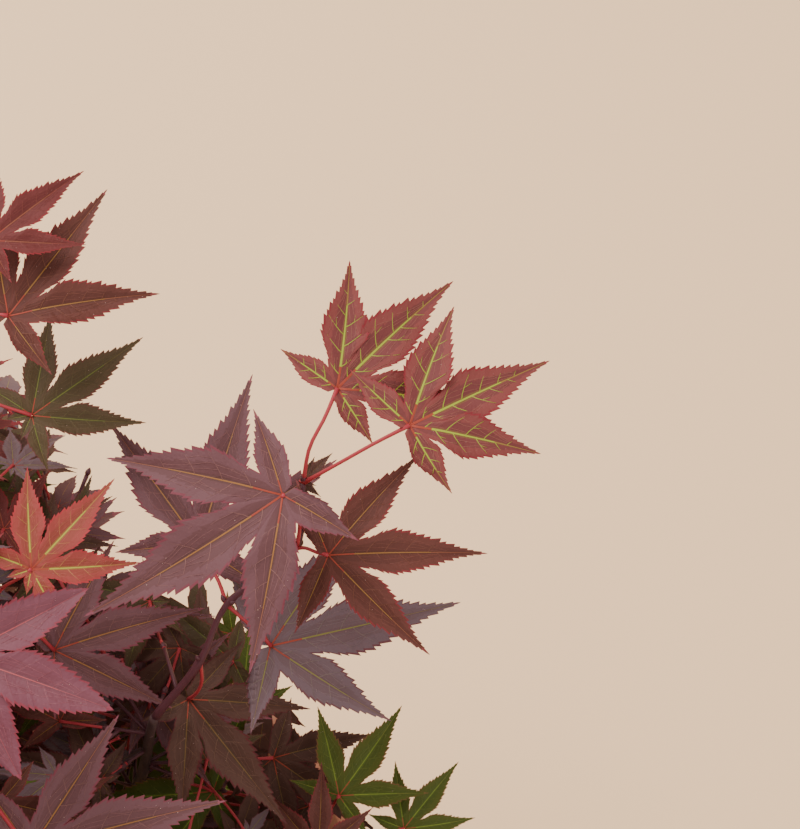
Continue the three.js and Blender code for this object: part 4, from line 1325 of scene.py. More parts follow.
def leaf_paint(name, colour, zone, sheen):
    """One zone of a leaf. The relief of a blade reads its own map, so that it swells between side veins."""
    is_vein = zone in ("vein", "side", "net", "end", "root", "speck")
    paint = Paint(name, colour, 0.5 if is_vein else 0.62, specular_ior_level=sheen)
    if not is_vein:
        route = paint.node("ShaderNodeTexCoord", output="UV")
        passed = paint.node("ShaderNodeSeparateXYZ", inputs={"Vector": route}, output="X")
        swell = (passed.math("FRACT") * math.pi).math("SINE") ** 0.5
        place = paint.object_place()
        net = paint.cells(place, 850).ramp(0.0, 0.6)
        skin = paint.grain(place, 2600, 2, 0.5)
        paint.bump(swell * 0.55 + net * 0.3 + skin * 0.25, 0.0003, 0.6)
    return paint.material


def floor_paint(tints):
    return Paint("pale_floor", tints.floor, 0.9, specular_ior_level=0.2).material


def placed(name, data):
    """An object for a mesh, a lamp or a camera, linked to the scene."""
    made = bpy.data.objects.new(name, data)
    bpy.context.scene.collection.objects.link(made)
    return made


def extruded(form, edges):
    """The new vertices and the new edges, once a row of edges is extruded."""
    made = bmesh.ops.extrude_edge_only(form, edges=edges)["geom"]
    kinds = (bmesh.types.BMVert, bmesh.types.BMEdge)
    return tuple([item for item in made if isinstance(item, kind)] for kind in kinds)


def waves(x, y, scale, layer):
    """Smooth noise over a level place, with its own pattern for each layer."""
    return noise.noise(Vector((x * scale, y * scale, layer)))


def clipped(value):
    return min(1.0, max(0.0, value))


def inner_radius(height):
    """The radius of the pot's inner wall at a height."""
    return FOOT_RADIUS - WALL + POT_SLOPE * height


def mesh_piece(name, points, faces, materials, zones, route, is_rim, is_smooth=True):
    """An object from arrays: points in millimetres, and faces with four corners, or three and a -1."""
    mesh = bpy.data.meshes.new(name)
    faces = np.asarray(faces, np.int32)
    is_corner = faces >= 0
    corners = faces[is_corner]
    sizes = is_corner.sum(axis=1)
    mesh.vertices.add(len(points))
    mesh.vertices.foreach_set("co", (np.asarray(points) * MM).astype(np.float32).ravel())
    mesh.loops.add(len(corners))
    mesh.loops.foreach_set("vertex_index", corners)
    mesh.polygons.add(len(faces))
    mesh.polygons.foreach_set("loop_start", (np.cumsum(sizes) - sizes).astype(np.int32))
    mesh.polygons.foreach_set("use_smooth", np.full(len(faces), is_smooth))
    layer = mesh.uv_layers.new(name="blade")
    layer.data.foreach_set("uv", np.asarray(route, np.float32)[corners].ravel())
    for material in materials:
        mesh.materials.append(material)
    mesh.polygons.foreach_set("material_index", np.asarray(zones, np.int32))
    mesh.update(calc_edges=True)
    mesh.validate()
    edges = np.empty(len(mesh.edges) * 2, np.int32)
    mesh.edges.foreach_get("vertices", edges)
    mesh.edges.foreach_set("use_edge_sharp", is_rim[edges.reshape(-1, 2)].all(axis=1))
    return placed(name, mesh)


def bmesh_piece(name, form, materials, is_smooth=False):
    """An object from a form in metres."""
    bmesh.ops.recalc_face_normals(form, faces=form.faces)
    mesh = bpy.data.meshes.new(name)
    form.to_mesh(mesh)
    form.free()
    for material in materials:
        mesh.materials.append(material)
    if is_smooth:
        mesh.polygons.foreach_set("use_smooth", np.ones(len(mesh.polygons), bool))
    return placed(name, mesh)


def settle(piece, slot, *nodes):
    """The piece rides on the plant's one body and stands for those solids; its slot is not used."""
    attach(piece, "root")
    if nodes:
        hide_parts(*nodes)
    return piece


def frames_along(points, first_way=None):
    """Two cross directions at each point of a line, carried along it without a twist."""
    points = np.asarray(points)
    ways = np.gradient(points, axis=0)
    ways /= np.linalg.norm(ways, axis=1)[:, None]
    if first_way is not None:
        ways[0] = first_way
    side = unit(cross(ways[0], Z if abs(ways[0][2]) < 0.9 else ACROSS))
    sides = []
    for way in ways:
        side = unit(side - way * (side @ way))
        sides.append(side)
    sides = np.array(sides)
    return sides, cross(ways, sides)


class Stack:
    """Points and faces of many like things, gathered to be one mesh."""

    def __init__(self):
        self.points, self.faces, self.zones, self.routes, self.rims = [], [], [], [], []
        self.count = 0

    def add(self, points, faces, zones=None, route=None, is_rim=None):
        self.points.append(points)
        faces = np.asarray(faces)
        self.faces.append(np.where(faces < 0, -1, faces + self.count))
        self.zones.append(np.zeros(len(faces), int) if zones is None else zones)
        self.routes.append(np.zeros((len(points), 2)) if route is None else route)
        self.rims.append(np.zeros(len(points), bool) if is_rim is None else is_rim)
        self.count += len(points)

    def piece(self, name, materials, is_smooth=True):
        return mesh_piece(
            name, np.concatenate(self.points), np.concatenate(self.faces), materials,
            np.concatenate(self.zones), np.concatenate(self.routes), np.concatenate(self.rims), is_smooth,
        )

    def add_tube(self, points, radii, sides, first_way=None):
        """A closed tube with a cap at each end."""
        across, over = frames_along(points, first_way)
        turns = np.arange(sides) / sides * 2 * math.pi
        ring = across[:, None] * np.cos(turns)[:, None] + over[:, None] * np.sin(turns)[:, None]
        rings = np.asarray(points)[:, None] + ring * np.asarray(radii)[:, None, None]
        steps = len(points)
        index = np.arange(steps * sides).reshape(steps, sides)
        beside = np.roll(index, -1, axis=1)
        walls = np.stack([index[:-1], beside[:-1], beside[1:], index[1:]], axis=-1).reshape(-1, 4)
        low, high = steps * sides, steps * sides + 1
        caps = [(low, index[0, (i + 1) % sides], index[0, i], -1) for i in range(sides)]
        caps += [(high, index[-1, i], index[-1, (i + 1) % sides], -1) for i in range(sides)]
        ends = np.array([points[0], points[-1]])
        self.add(np.concatenate([rings.reshape(-1, 3), ends]), np.concatenate([walls, caps]))


def smooth_line(points, per_step):
    route = Route(points)
    count = (len(points) - 1) * per_step
    return np.array([route.point(step / count) for step in range(count + 1)])


class Lobe:
    """One lobe of a leaf, in shares of the middle lobe: its toothed blade as a grid, and its veins."""

    # The outline and its teeth
    HUB = 0.004
    RIB_START = 0.07
    RIB_POWER = 1.05
    BIG_TOOTH = 0.5
    TOOTH_ROLL = 0.35
    TOOTH_HOOK = 0.12
    TAIL = 0.18
    TAIL_POWER = 0.86
    WIDEST_AT = 0.42
    LEAST_RISE = 0.03
    SHORT_WIDTH = 0.05

    # The side veins: their slant, their places along the lobe and how far the shortest ones reach
    SLANT = 0.9
    FIRST_VEIN = 0.1
    VEIN_SPAN = 0.78
    LAST_VEIN = 0.86
    LEAST_REACH = 0.02
    FORK_REACH = 0.05

    # The lobe's own bend, twist and waves, and its specks
    CURVING = 0.11
    TWISTING = 0.66
    WAVE_COUNT = 16
    SPECK_SIZE = (0.0012, 0.0022)
    SPECK_RISE = (0.0006, 0.0006, 0.0006, 0.0006, 0.0018)

    def __init__(self, turn, length, edges, breadth, fullness, droop, teeth, columns, veins, keys):
        self.turn = turn
        self.fullness = fullness
        self.droop = droop
        self.rise = LOBE_RISE * (keys[-1] % 2)
        self.length = length
        turns = [(math.radians(half), notch) for half, notch in edges]
        self.edges = [(notch * math.cos(half), notch * math.sin(half)) for half, notch in turns]
        self.teeth = teeth
        self.columns = np.array(columns)
        self.vein_count = veins
        self.keys = keys
        self.bend, self.curl, self.twist, self.phase = (chance(*keys, 40 + roll) - 0.5 for roll in range(4))
        self.width = (SHOULDER_WIDTH + self.SHORT_WIDTH * (1 - length)) * length * breadth

    def half_width(self, along, side):
        """Half the width of the plain outline on side 0, the left one, or 1."""
        notch_along, notch_aside = self.edges[side]
        wide_at = max(self.WIDEST_AT * self.length, notch_along + self.LEAST_RISE)
        width = max(self.width, notch_aside)
        rising = np.clip((along - notch_along) / (wide_at - notch_along), 0, 1)
        below = notch_aside + (width - notch_aside) * (1 - np.cos(rising * math.pi)) / 2
        falling = np.clip((along - wide_at) / (self.length - wide_at), 0, 1)
        slope = (1 + np.cos(falling ** self.TAIL_POWER * math.pi)) / 2
        tail = between((slope, np.sqrt(1 - falling)), self.TAIL)
        above = width * between((tail, 1 - falling ** 2), self.fullness)
        web = notch_aside * np.clip(along / notch_along, 0, 1)
        return np.where(along < notch_along, web, np.where(along < wide_at, below, above))

    def rows(self, side, tooth_height):
        """Rows of one side: the place on the midrib, and the rim's place along and aside."""
        notch_along, notch_aside = self.edges[side]
        rib_start = self.RIB_START * self.length

        def at(share):
            """The places on the midrib and at the rim, at a share of the free part."""
            rib = rib_start + (self.length - rib_start) * share ** self.RIB_POWER
            return rib, notch_along + (self.length - notch_along) * share

        rows = [
            (self.HUB, self.HUB, self.HUB * notch_aside / notch_along),
            (rib_start * 0.6, notch_along * 0.55, notch_aside * 0.55),
            (rib_start, notch_along, notch_aside),
        ]
        rolls = [self.TOOTH_ROLL * (chance(*self.keys, side, tooth) - 0.5) for tooth in range(self.teeth)]
        steps = [1 + self.BIG_TOOTH * (tooth % 2 == 0) + roll for tooth, roll in enumerate(rolls)]
        ends = np.cumsum(steps) / sum(steps)
        for step, end_share in zip(steps[:-1], ends[:-1]):
            tip_share = end_share - self.TOOTH_HOOK * step / sum(steps)
            size = tooth_height * self.length * step / (1 + self.BIG_TOOTH)
            size *= min(1, 2.4 * (1 - tip_share) + 0.15) * min(1, 0.35 + 3 * tip_share)
            rib, tip = at(tip_share)
            rows.append((rib, tip + size * 0.9, float(self.half_width(tip, side)) + size * 0.8))
            rib, end = at(end_share)
            rows.append((rib, end, float(self.half_width(end, side)) - size * 0.35))
        tip = between((rows[-1][1], self.length), 0.5)
        rows.append((between((rows[-1][0], self.length), 0.45), tip, float(self.half_width(tip, side))))
        rows.append((self.length - 0.001, self.length, 0.0006))
        return np.array(rows)

    def row_at(self, along, aside, share):
        """How far up the free part of the lobe a place's row is: 0 at the notch, 1 at the tip."""
        notch = np.where(aside >= 0, self.edges[0][0], self.edges[1][0])
        start = between((self.RIB_START * self.length, notch), share)
        return np.clip((along - start) / (self.length - start), 0, 1)

    def share_at(self, along, aside):
        """The share of the way from the midrib to the rim, on the row that goes through a place."""
        share = along * 0
        for _ in range(4):
            row = self.row_at(along, aside, share)
            rims = [self.half_width(between((notch, self.length), row), side)
                    for side, (notch, _) in enumerate(self.edges)]
            share = np.clip(np.abs(aside) / np.maximum(np.where(aside >= 0, *rims), 1e-4), 0, 1)
        return share

    def relief(self, along, aside, share):
        """The lift of the blade: its fold, its droop, and past the web this lobe's bend, twist and waves."""
        row = self.row_at(along, aside, share)
        heights = np.sin(self.columns * math.pi / 2) * BLADE_FOLD / SHOULDER_WIDTH
        fold = np.interp(share, self.columns, heights) / np.maximum(share, 1e-4)
        wave = BLADE_WAVE * np.sin(row * self.WAVE_COUNT + self.phase * 9 + np.sign(aside))
        wave *= np.minimum(row * 4, 1)
        lift = (fold + wave) * np.abs(aside) + self.rise * np.minimum(row * 7, 1)
        lift -= self.droop * (along * along + aside * aside)
        lift += self.bend * self.CURVING * self.length * row * row
        return lift + self.twist * self.TWISTING * aside * row

    def places(self, along, aside, share):
        """Places on the blade in the leaf's own axes, given in the lobe's own plane."""
        lift = self.relief(along, aside, share)
        aside = aside + self.curl * self.CURVING * self.length * self.row_at(along, aside, share) ** 2
        angle = math.radians(self.turn)
        return np.stack([
            along * math.cos(angle) - aside * math.sin(angle),
            along * math.sin(angle) + aside * math.cos(angle),
            lift,
        ], axis=-1)

    def route(self, along, aside, share):
        """The blade's own map: how many side veins have been passed, and the share across."""
        passed = ((along - self.SLANT * np.abs(aside)) / self.length - self.FIRST_VEIN) / self.VEIN_SPAN
        return np.stack([passed * self.vein_count + 0.5 * (aside < 0), share], axis=-1)

    def add_blade(self, stack, tooth_height, thickness):
        """A closed shell: the toothed upper side, and an underside that meets it at the rim."""
        left, right = (self.rows(side, tooth_height) for side in (0, 1))
        shares = self.columns[1:]
        rib = left[:, :1]
        along = np.concatenate([
            (left[:, :1] + (left[:, 1:2] - left[:, :1]) * shares)[:, ::-1], rib,
            rib + (right[:, 1:2] - rib) * shares,
        ], axis=1)
        aside = np.concatenate([(left[:, 2:] * shares)[:, ::-1], rib * 0, -right[:, 2:] * shares], axis=1)
        share = np.broadcast_to(np.concatenate([shares[::-1], [0], shares]), along.shape)
        count, lines = along.shape
        middle = len(shares)
        top = self.places(along, aside, share).reshape(-1, 3)
        route = self.route(along, aside, share).reshape(-1, 2)
        index = np.arange(count * lines).reshape(count, lines)
        below = np.arange(count) + count * lines
        upper = np.stack([index[:-1, :-1], index[1:, :-1], index[1:, 1:], index[:-1, 1:]], axis=-1)
        under = np.concatenate([
            np.stack([index[:-1, 0], below[:-1], below[1:], index[1:, 0]], axis=-1),
            np.stack([below[:-1], index[:-1, -1], index[1:, -1], below[1:]], axis=-1),
        ])
        ends = np.concatenate([
            np.stack([index[0, 1:], np.full(lines - 1, below[0]), index[0, :-1]], axis=-1),
            np.stack([index[-1, :-1], np.full(lines - 1, below[-1]), index[-1, 1:]], axis=-1),
        ])
        ends = np.concatenate([ends, np.full((len(ends), 1), -1)], axis=1)
        zones = np.full((count - 1, lines - 1), ZONE["blade"])
        if middle > 2:
            zones[:, middle - 2:middle + 2] = ZONE["middle"]
            zones[:, middle - 1:middle + 1] = ZONE["inner"]
        zones[2:, [0, -1]] = ZONE["margin"]
        zones[-3:] = ZONE["tip"]
        others = np.repeat([ZONE["under"], ZONE["margin"]], [len(under), len(ends)])
        zones = np.concatenate([zones.ravel(), others])
        points = np.concatenate([top, top[index[:, middle]] - (0, 0, thickness)])
        routes = np.concatenate([route, route[index[:, middle]]])
        is_rim = np.zeros(len(points), bool)
        is_rim[index[:, [0, -1]]] = True
        stack.add(points, np.concatenate([upper.reshape(-1, 4), under, ends]), zones, routes, is_rim)

    def add_ribbon(self, stack, line, widths, zones):
        """A thin raised vein along a line on the blade."""
        ways = np.gradient(line, axis=0)
        ways /= np.linalg.norm(ways, axis=1)[:, None]
        normal = np.stack([-ways[:, 1], ways[:, 0]], axis=1) * widths[:, None]
        rows = []
        for offset in (normal, -normal, normal * 0):
            along, aside = (line + offset).T
            rows.append(self.places(along, aside, self.share_at(along, aside)))
        for row, height in zip(rows, (0, 0, widths * VEIN_SLOPE)):
            row[:, 2] += VEIN_FOOT + height
        points = np.stack([rows[0], rows[2], rows[1]], axis=1)
        count = len(line)
        index = np.arange(count * 3).reshape(count, 3)
        beside = np.roll(index, -1, axis=1)
        walls = np.stack([index[:-1], index[1:], beside[1:], beside[:-1]], axis=-1).reshape(-1, 4)
        caps = np.array([(*index[0], -1), (*index[-1][::-1], -1)])
        zones = np.concatenate([np.repeat(zones, 3), zones[[0, -1]]])
        is_rim = np.tile([True, False, True], count)
        stack.add(points.reshape(-1, 3), np.concatenate([walls, caps]), zones, None, is_rim)

    def add_veins(self, stack, width, steps, has_forks, has_net):
        """The midrib, which changes colour from root to tip, and side veins that curve to the tip."""
        shares = np.linspace(0, 1, steps * 3 + 1)
        line = np.stack([self.HUB + shares * (0.96 * self.length - self.HUB), shares * 0], axis=1)
        widths = width * (0.55 + 0.45 * self.length) * (1 - 0.82 * shares)
        middles = (shares[1:] + shares[:-1]) / 2
        zones = np.where(middles < ROOT_UNTIL, ZONE["root"], ZONE["vein"])
        zones = np.where(middles > RIB_UNTIL, ZONE["end"], zones)
        self.add_ribbon(stack, line, widths, zones)
        for side, sign in ((0, 1), (1, -1)):
            lines = []
            for number in range(self.vein_count):
                roll, other = (chance(*self.keys, side, number, 60 + i) - 0.5 for i in (0, 1))
                passed = self.VEIN_SPAN * (number + 0.5 * side + 0.25 * roll) / self.vein_count
                start = (self.FIRST_VEIN + passed) * self.length
                ahead = start + 0.1 * self.length
                reach = float(self.half_width(ahead, side)) * (SIDE_REACH + 0.2 * other)
                if reach < self.LEAST_REACH or start > self.LAST_VEIN * self.length:
                    continue
                shares = np.linspace(0, 1, steps + 1)
                curve = 0.6 * shares + 0.4 * shares ** 2 + 0.03 * (shares > 0.4)
                line = np.stack([start + reach * self.SLANT * curve, sign * reach * shares], axis=1)
                lines.append(line)
                fade = width * (0.5 if has_forks else 0.4) * (1 - 0.5 * start / self.length)
                kind = np.full(steps, ZONE["side"])
                self.add_ribbon(stack, line, fade * (1 - 0.7 * shares), kind)
                if has_forks and reach > self.FORK_REACH:
                    base = line[steps // 2]
                    forward = base + reach * np.array([(0.5, sign * 0.06), (0.34, sign * 0.34)][number % 2])
                    fork = np.linspace(base, forward, 3)
                    self.add_ribbon(stack, fork, fade * np.array([0.55, 0.4, 0.15]), kind[:2])
            if has_net:
                self.add_net(stack, lines, side)

    def add_net(self, stack, lines, side):
        """The finest veins: crooked links from each side vein to the next one."""
        kind = np.full(2, ZONE["net"])
        widths = np.full(3, NET_VEIN)
        for number, (line, following) in enumerate(zip(lines, lines[1:])):
            steps = np.arange(len(line))
            for link, share in enumerate(NET_LINKS):
                rolls = [chance(*self.keys, side, number, link, 80 + i) for i in range(4)]
                at = (share + 0.1 * (number % 2) + 0.24 * (rolls[0] - 0.5)) * steps[-1]
                ends = [np.array([np.interp(at * part, steps, places[:, axis]) for axis in (0, 1)])
                        for part, places in ((1, line), (0.6 + 0.45 * rolls[1], following))]
                middle = between(ends, 0.3 + 0.4 * rolls[2])
                middle[1] *= 0.88 + 0.3 * rolls[3]
                self.add_ribbon(stack, np.array([ends[0], middle, ends[1]]), widths, kind)

    def add_specks(self, stack, count):
        """Tiny pale specks that lie on the blade."""
        for number in range(count):
            roll = [chance(*self.keys, number, 90 + i) for i in range(4)]
            along = np.full(5, self.length * (0.12 + 0.8 * roll[0]))
            side = int(roll[1] > 0.5)
            share = abs(roll[1] - 0.5) * 1.7
            aside = (1 - 2 * side) * share * self.half_width(along, side)
            size = rolled(self.SPECK_SIZE, roll[2] ** 3)
            turn = np.arange(4) * math.pi / 2 + roll[3] * 3
            along[:4] += np.cos(turn) * size
            aside[:4] += np.sin(turn) * size * 0.8
            points = self.places(along, aside, self.share_at(along, aside))
            points[:, 2] += self.SPECK_RISE
            faces = [(3, 2, 1, 0), (0, 1, 4, -1), (1, 2, 4, -1), (2, 3, 4, -1), (3, 0, 4, -1)]
            stack.add(points, faces, np.full(5, ZONE["speck"]))


def leaf_lobes(key):
    """The lobes from one side to the other, with two small ones on some leaves."""
    plain = [(-BASE_LOBE[0], BASE_LOBE[1]), (-SIDE_LOBE[0], SIDE_LOBE[1]), (0, 1), SIDE_LOBE, BASE_LOBE]
    lobes = []
    for number, (turn, length) in enumerate(plain):
        swing, stretch = (chance(key, number, roll) - 0.5 for roll in (31, 33))
        lobes.append((turn + swing * LOBE_SWING * (turn != 0), length * (1 + stretch * LOBE_STRETCH)))
    if chance(key, 32) < SMALL_LOBE_CHANCE:
        lobes = [(-SMALL_LOBE[0], SMALL_LOBE[1]), *lobes, SMALL_LOBE]
    return lobes


def web_depth(length):
    """How far a web reaches up beside the shorter of its two lobes."""
    return WEB_DEPTH if length > 0.6 else BASE_WEB_DEPTH if length > 0.3 else SMALL_WEB_DEPTH


@functools.cache
def leaf_form(lobes, key, is_bright, breadth, fullness, droop, is_finest, has_net):
    """A leaf of length 1 on its own axes: each lobe's thin closed blade with its veins."""
    sizes = bpy.context.scene.maple_leaves
    lobes = lobes or leaf_lobes(key)
    teeth, veins, steps = (sizes.finest_teeth, 6, 4) if is_finest else (sizes.teeth, 3, 2)
    columns = (0, 0.11, 0.52, 0.9, 1) if is_finest else (0, 0.9, 1)
    last = len(lobes) - 1
    stack = Stack()
    for number, (turn, length) in enumerate(lobes):
        edges = []
        for beside in (number + 1, number - 1):
            if 0 <= beside <= last:
                half_turn = abs(lobes[beside][0] - turn) / 2
                edges.append((half_turn, web_depth(min(length, lobes[beside][1]))))
            else:
                edges.append((min(180 - abs(turn), 60), BACK_DEPTH + 0.01))
        share = 0.35 + 0.65 * length
        lobe = Lobe(
            turn, length, edges, breadth, fullness, droop, max(3, round(teeth * share)), columns,
            max(2, round(veins * share)), (key, number),
        )
        lobe.add_blade(stack, sizes.tooth_height, sizes.thickness / MM / LEAF_LENGTH[1])
        lobe.add_veins(stack, YOUNG_VEIN if is_bright else DARK_VEIN, steps, is_finest, has_net)
        if is_finest:
            lobe.add_specks(stack, round(SPECKS * length))
    parts = (stack.points, stack.faces, stack.zones, stack.routes, stack.rims)
    return tuple(np.concatenate(part) for part in parts)


def add_leaf(stack, leaf, key, tint):
    """One leaf. The plain ones share a few forms, and each of the best seen has its own."""
    if not leaf.is_finest:
        key %= PLAIN_FORMS
    breadth = BREADTHS.get(tint, BREADTH)
    droop = LEAF_DROOP * (PROUD_DROOP if leaf.is_proud else 1)
    has_net = leaf.is_proud and leaf.length > NET_FROM
    fullness = FULLNESS.get(tint, 0)
    form = leaf_form(leaf.lobes, key, tint in BRIGHT_TINTS, breadth, fullness, droop, leaf.is_finest, has_net)
    points, *rest = form
    stack.add(leaf.base + points @ (np.array([leaf.forward, leaf.aside, leaf.up]) * leaf.length), *rest)


def petiole_line(leaf, key):
    """A leaf stalk: it leaves its twig forward, bows a little and comes up behind the blade."""
    span = leaf.base - leaf.node
    length = np.linalg.norm(span)
    bow = cross(unit(span), leaf.aside) * rolled(STALK_BOW, chance(key, 51)) * length
    side = leaf.aside * (chance(key, 52) - 0.5) * STALK_SWING * length
    first = leaf.node + span * STALK_BENDS[0] + bow + side
    second = leaf.node + span * STALK_BENDS[1] + bow * 0.8
    return smooth_line([leaf.node, first, second, leaf.base + leaf.up * STALK_TOP], 3)


class MAPLE_OT_pot(bpy.types.Operator):
    """Makes the tapered clay pot with its rim band and drain holes"""

    bl_idname = "maple.pot"
    bl_label = "Pot"

    # Sizes in millimetres from the foot, the band's lower edge or the lip, and an angle in radians
    SIDES = 96
    RING_STEP = 12
    FOOT_EDGE = 6
    BAND_SWELL = 0.2
    BAND_RINGS = (9, 17)
    LIP_DEPTH = 24
    SHARP = 0.6
    ROUNDING = 1.6
    WOBBLE = 0.3 * MM

    def profile(self):
        """The pot's outline as radius and height, from the foot's middle round the rim to the floor's."""
        under_rim = POT_HEIGHT - RIM_HEIGHT
        middle = DRAIN_CIRCLE - DRAIN_RADIUS * 2
        rings = range(self.RING_STEP, under_rim - 2 * EDGE_CUT, self.RING_STEP)
        inner = (POT_HEIGHT, POT_HEIGHT - self.LIP_DEPTH, POT_FLOOR)
        return [
            (middle, 0), (FOOT_RADIUS - self.FOOT_EDGE, 0), (FOOT_RADIUS, 0),
            *((FOOT_RADIUS + POT_SLOPE * height, height) for height in rings),
            (RIM_RADIUS - RIM_PROUD, under_rim - EDGE_CUT), (RIM_RADIUS, under_rim + EDGE_CUT * 0.2),
            *((RIM_RADIUS + self.BAND_SWELL, under_rim + height) for height in self.BAND_RINGS),
            (RIM_RADIUS, POT_HEIGHT),
            *((inner_radius(height), height) for height in inner),
            (middle, POT_FLOOR),
        ]

    def execute(self, context):
        form = bmesh.new()
        line = [form.verts.new((radius * MM, 0, height * MM)) for radius, height in self.profile()]
        for start, end in zip(line, line[1:]):
            form.edges.new((start, end))
        bmesh.ops.spin(
            form, geom=form.verts[:] + form.edges[:], cent=(0, 0, 0), axis=(0, 0, 1),
            angle=math.tau, steps=self.SIDES, use_merge=True, use_duplicate=False,
        )
        bmesh.ops.remove_doubles(form, verts=form.verts, dist=1e-6)
        bmesh.ops.holes_fill(form, edges=[edge for edge in form.edges if edge.is_boundary], sides=0)
        bmesh.ops.recalc_face_normals(form, faces=form.faces)
        between_faces = [edge for edge in form.edges if len(edge.link_faces) == 2]
        sharp = [edge for edge in between_faces if edge.calc_face_angle() > self.SHARP]
        bmesh.ops.bevel(
            form, geom=sharp, offset=self.ROUNDING * MM, offset_type="OFFSET", segments=3,
            profile=0.5, affect="EDGES", material=-1,
        )
        for vert in form.verts:
            radius = math.hypot(vert.co.x, vert.co.y)
            if radius > DRAIN_CIRCLE * MM:
                wobble = waves(vert.co.x, vert.co.y, 9, vert.co.z * 60) * self.WOBBLE
                vert.co.x *= 1 + wobble / radius
                vert.co.y *= 1 + wobble / radius
        pot = bmesh_piece("clay_pot", form, [clay_paint(context.scene.maple_tints)], True)
        self.cut_drains(pot)
        settle(pot, "clay", "pot")
        return {"FINISHED"}

    @staticmethod
    def cut_drains(pot):
        form = bmesh.new()
        for number in range(DRAINS):
            turn = number / DRAINS * math.tau
            made = bmesh.ops.create_cone(
                form, cap_ends=True, segments=32, radius1=DRAIN_RADIUS * MM, radius2=DRAIN_RADIUS * MM,
                depth=POT_FLOOR * 3 * MM,
            )
            place = Vector((math.cos(turn), math.sin(turn), 0)) * DRAIN_CIRCLE * MM
            bmesh.ops.translate(form, verts=made["verts"], vec=place)
        cutter = bmesh_piece("drains", form, [])
        cut = pot.modifiers.new("drains", "BOOLEAN")
        cut.operation = "DIFFERENCE"
        cut.solver = "EXACT"
        cut.object = cutter
        apply_modifiers(pot)
        bpy.data.objects.remove(cutter)


def apply_modifiers(piece):
    graph = bpy.context.evaluated_depsgraph_get()
    made = bpy.data.meshes.new_from_object(piece.evaluated_get(graph))
    piece.modifiers.clear()
    piece.data = made


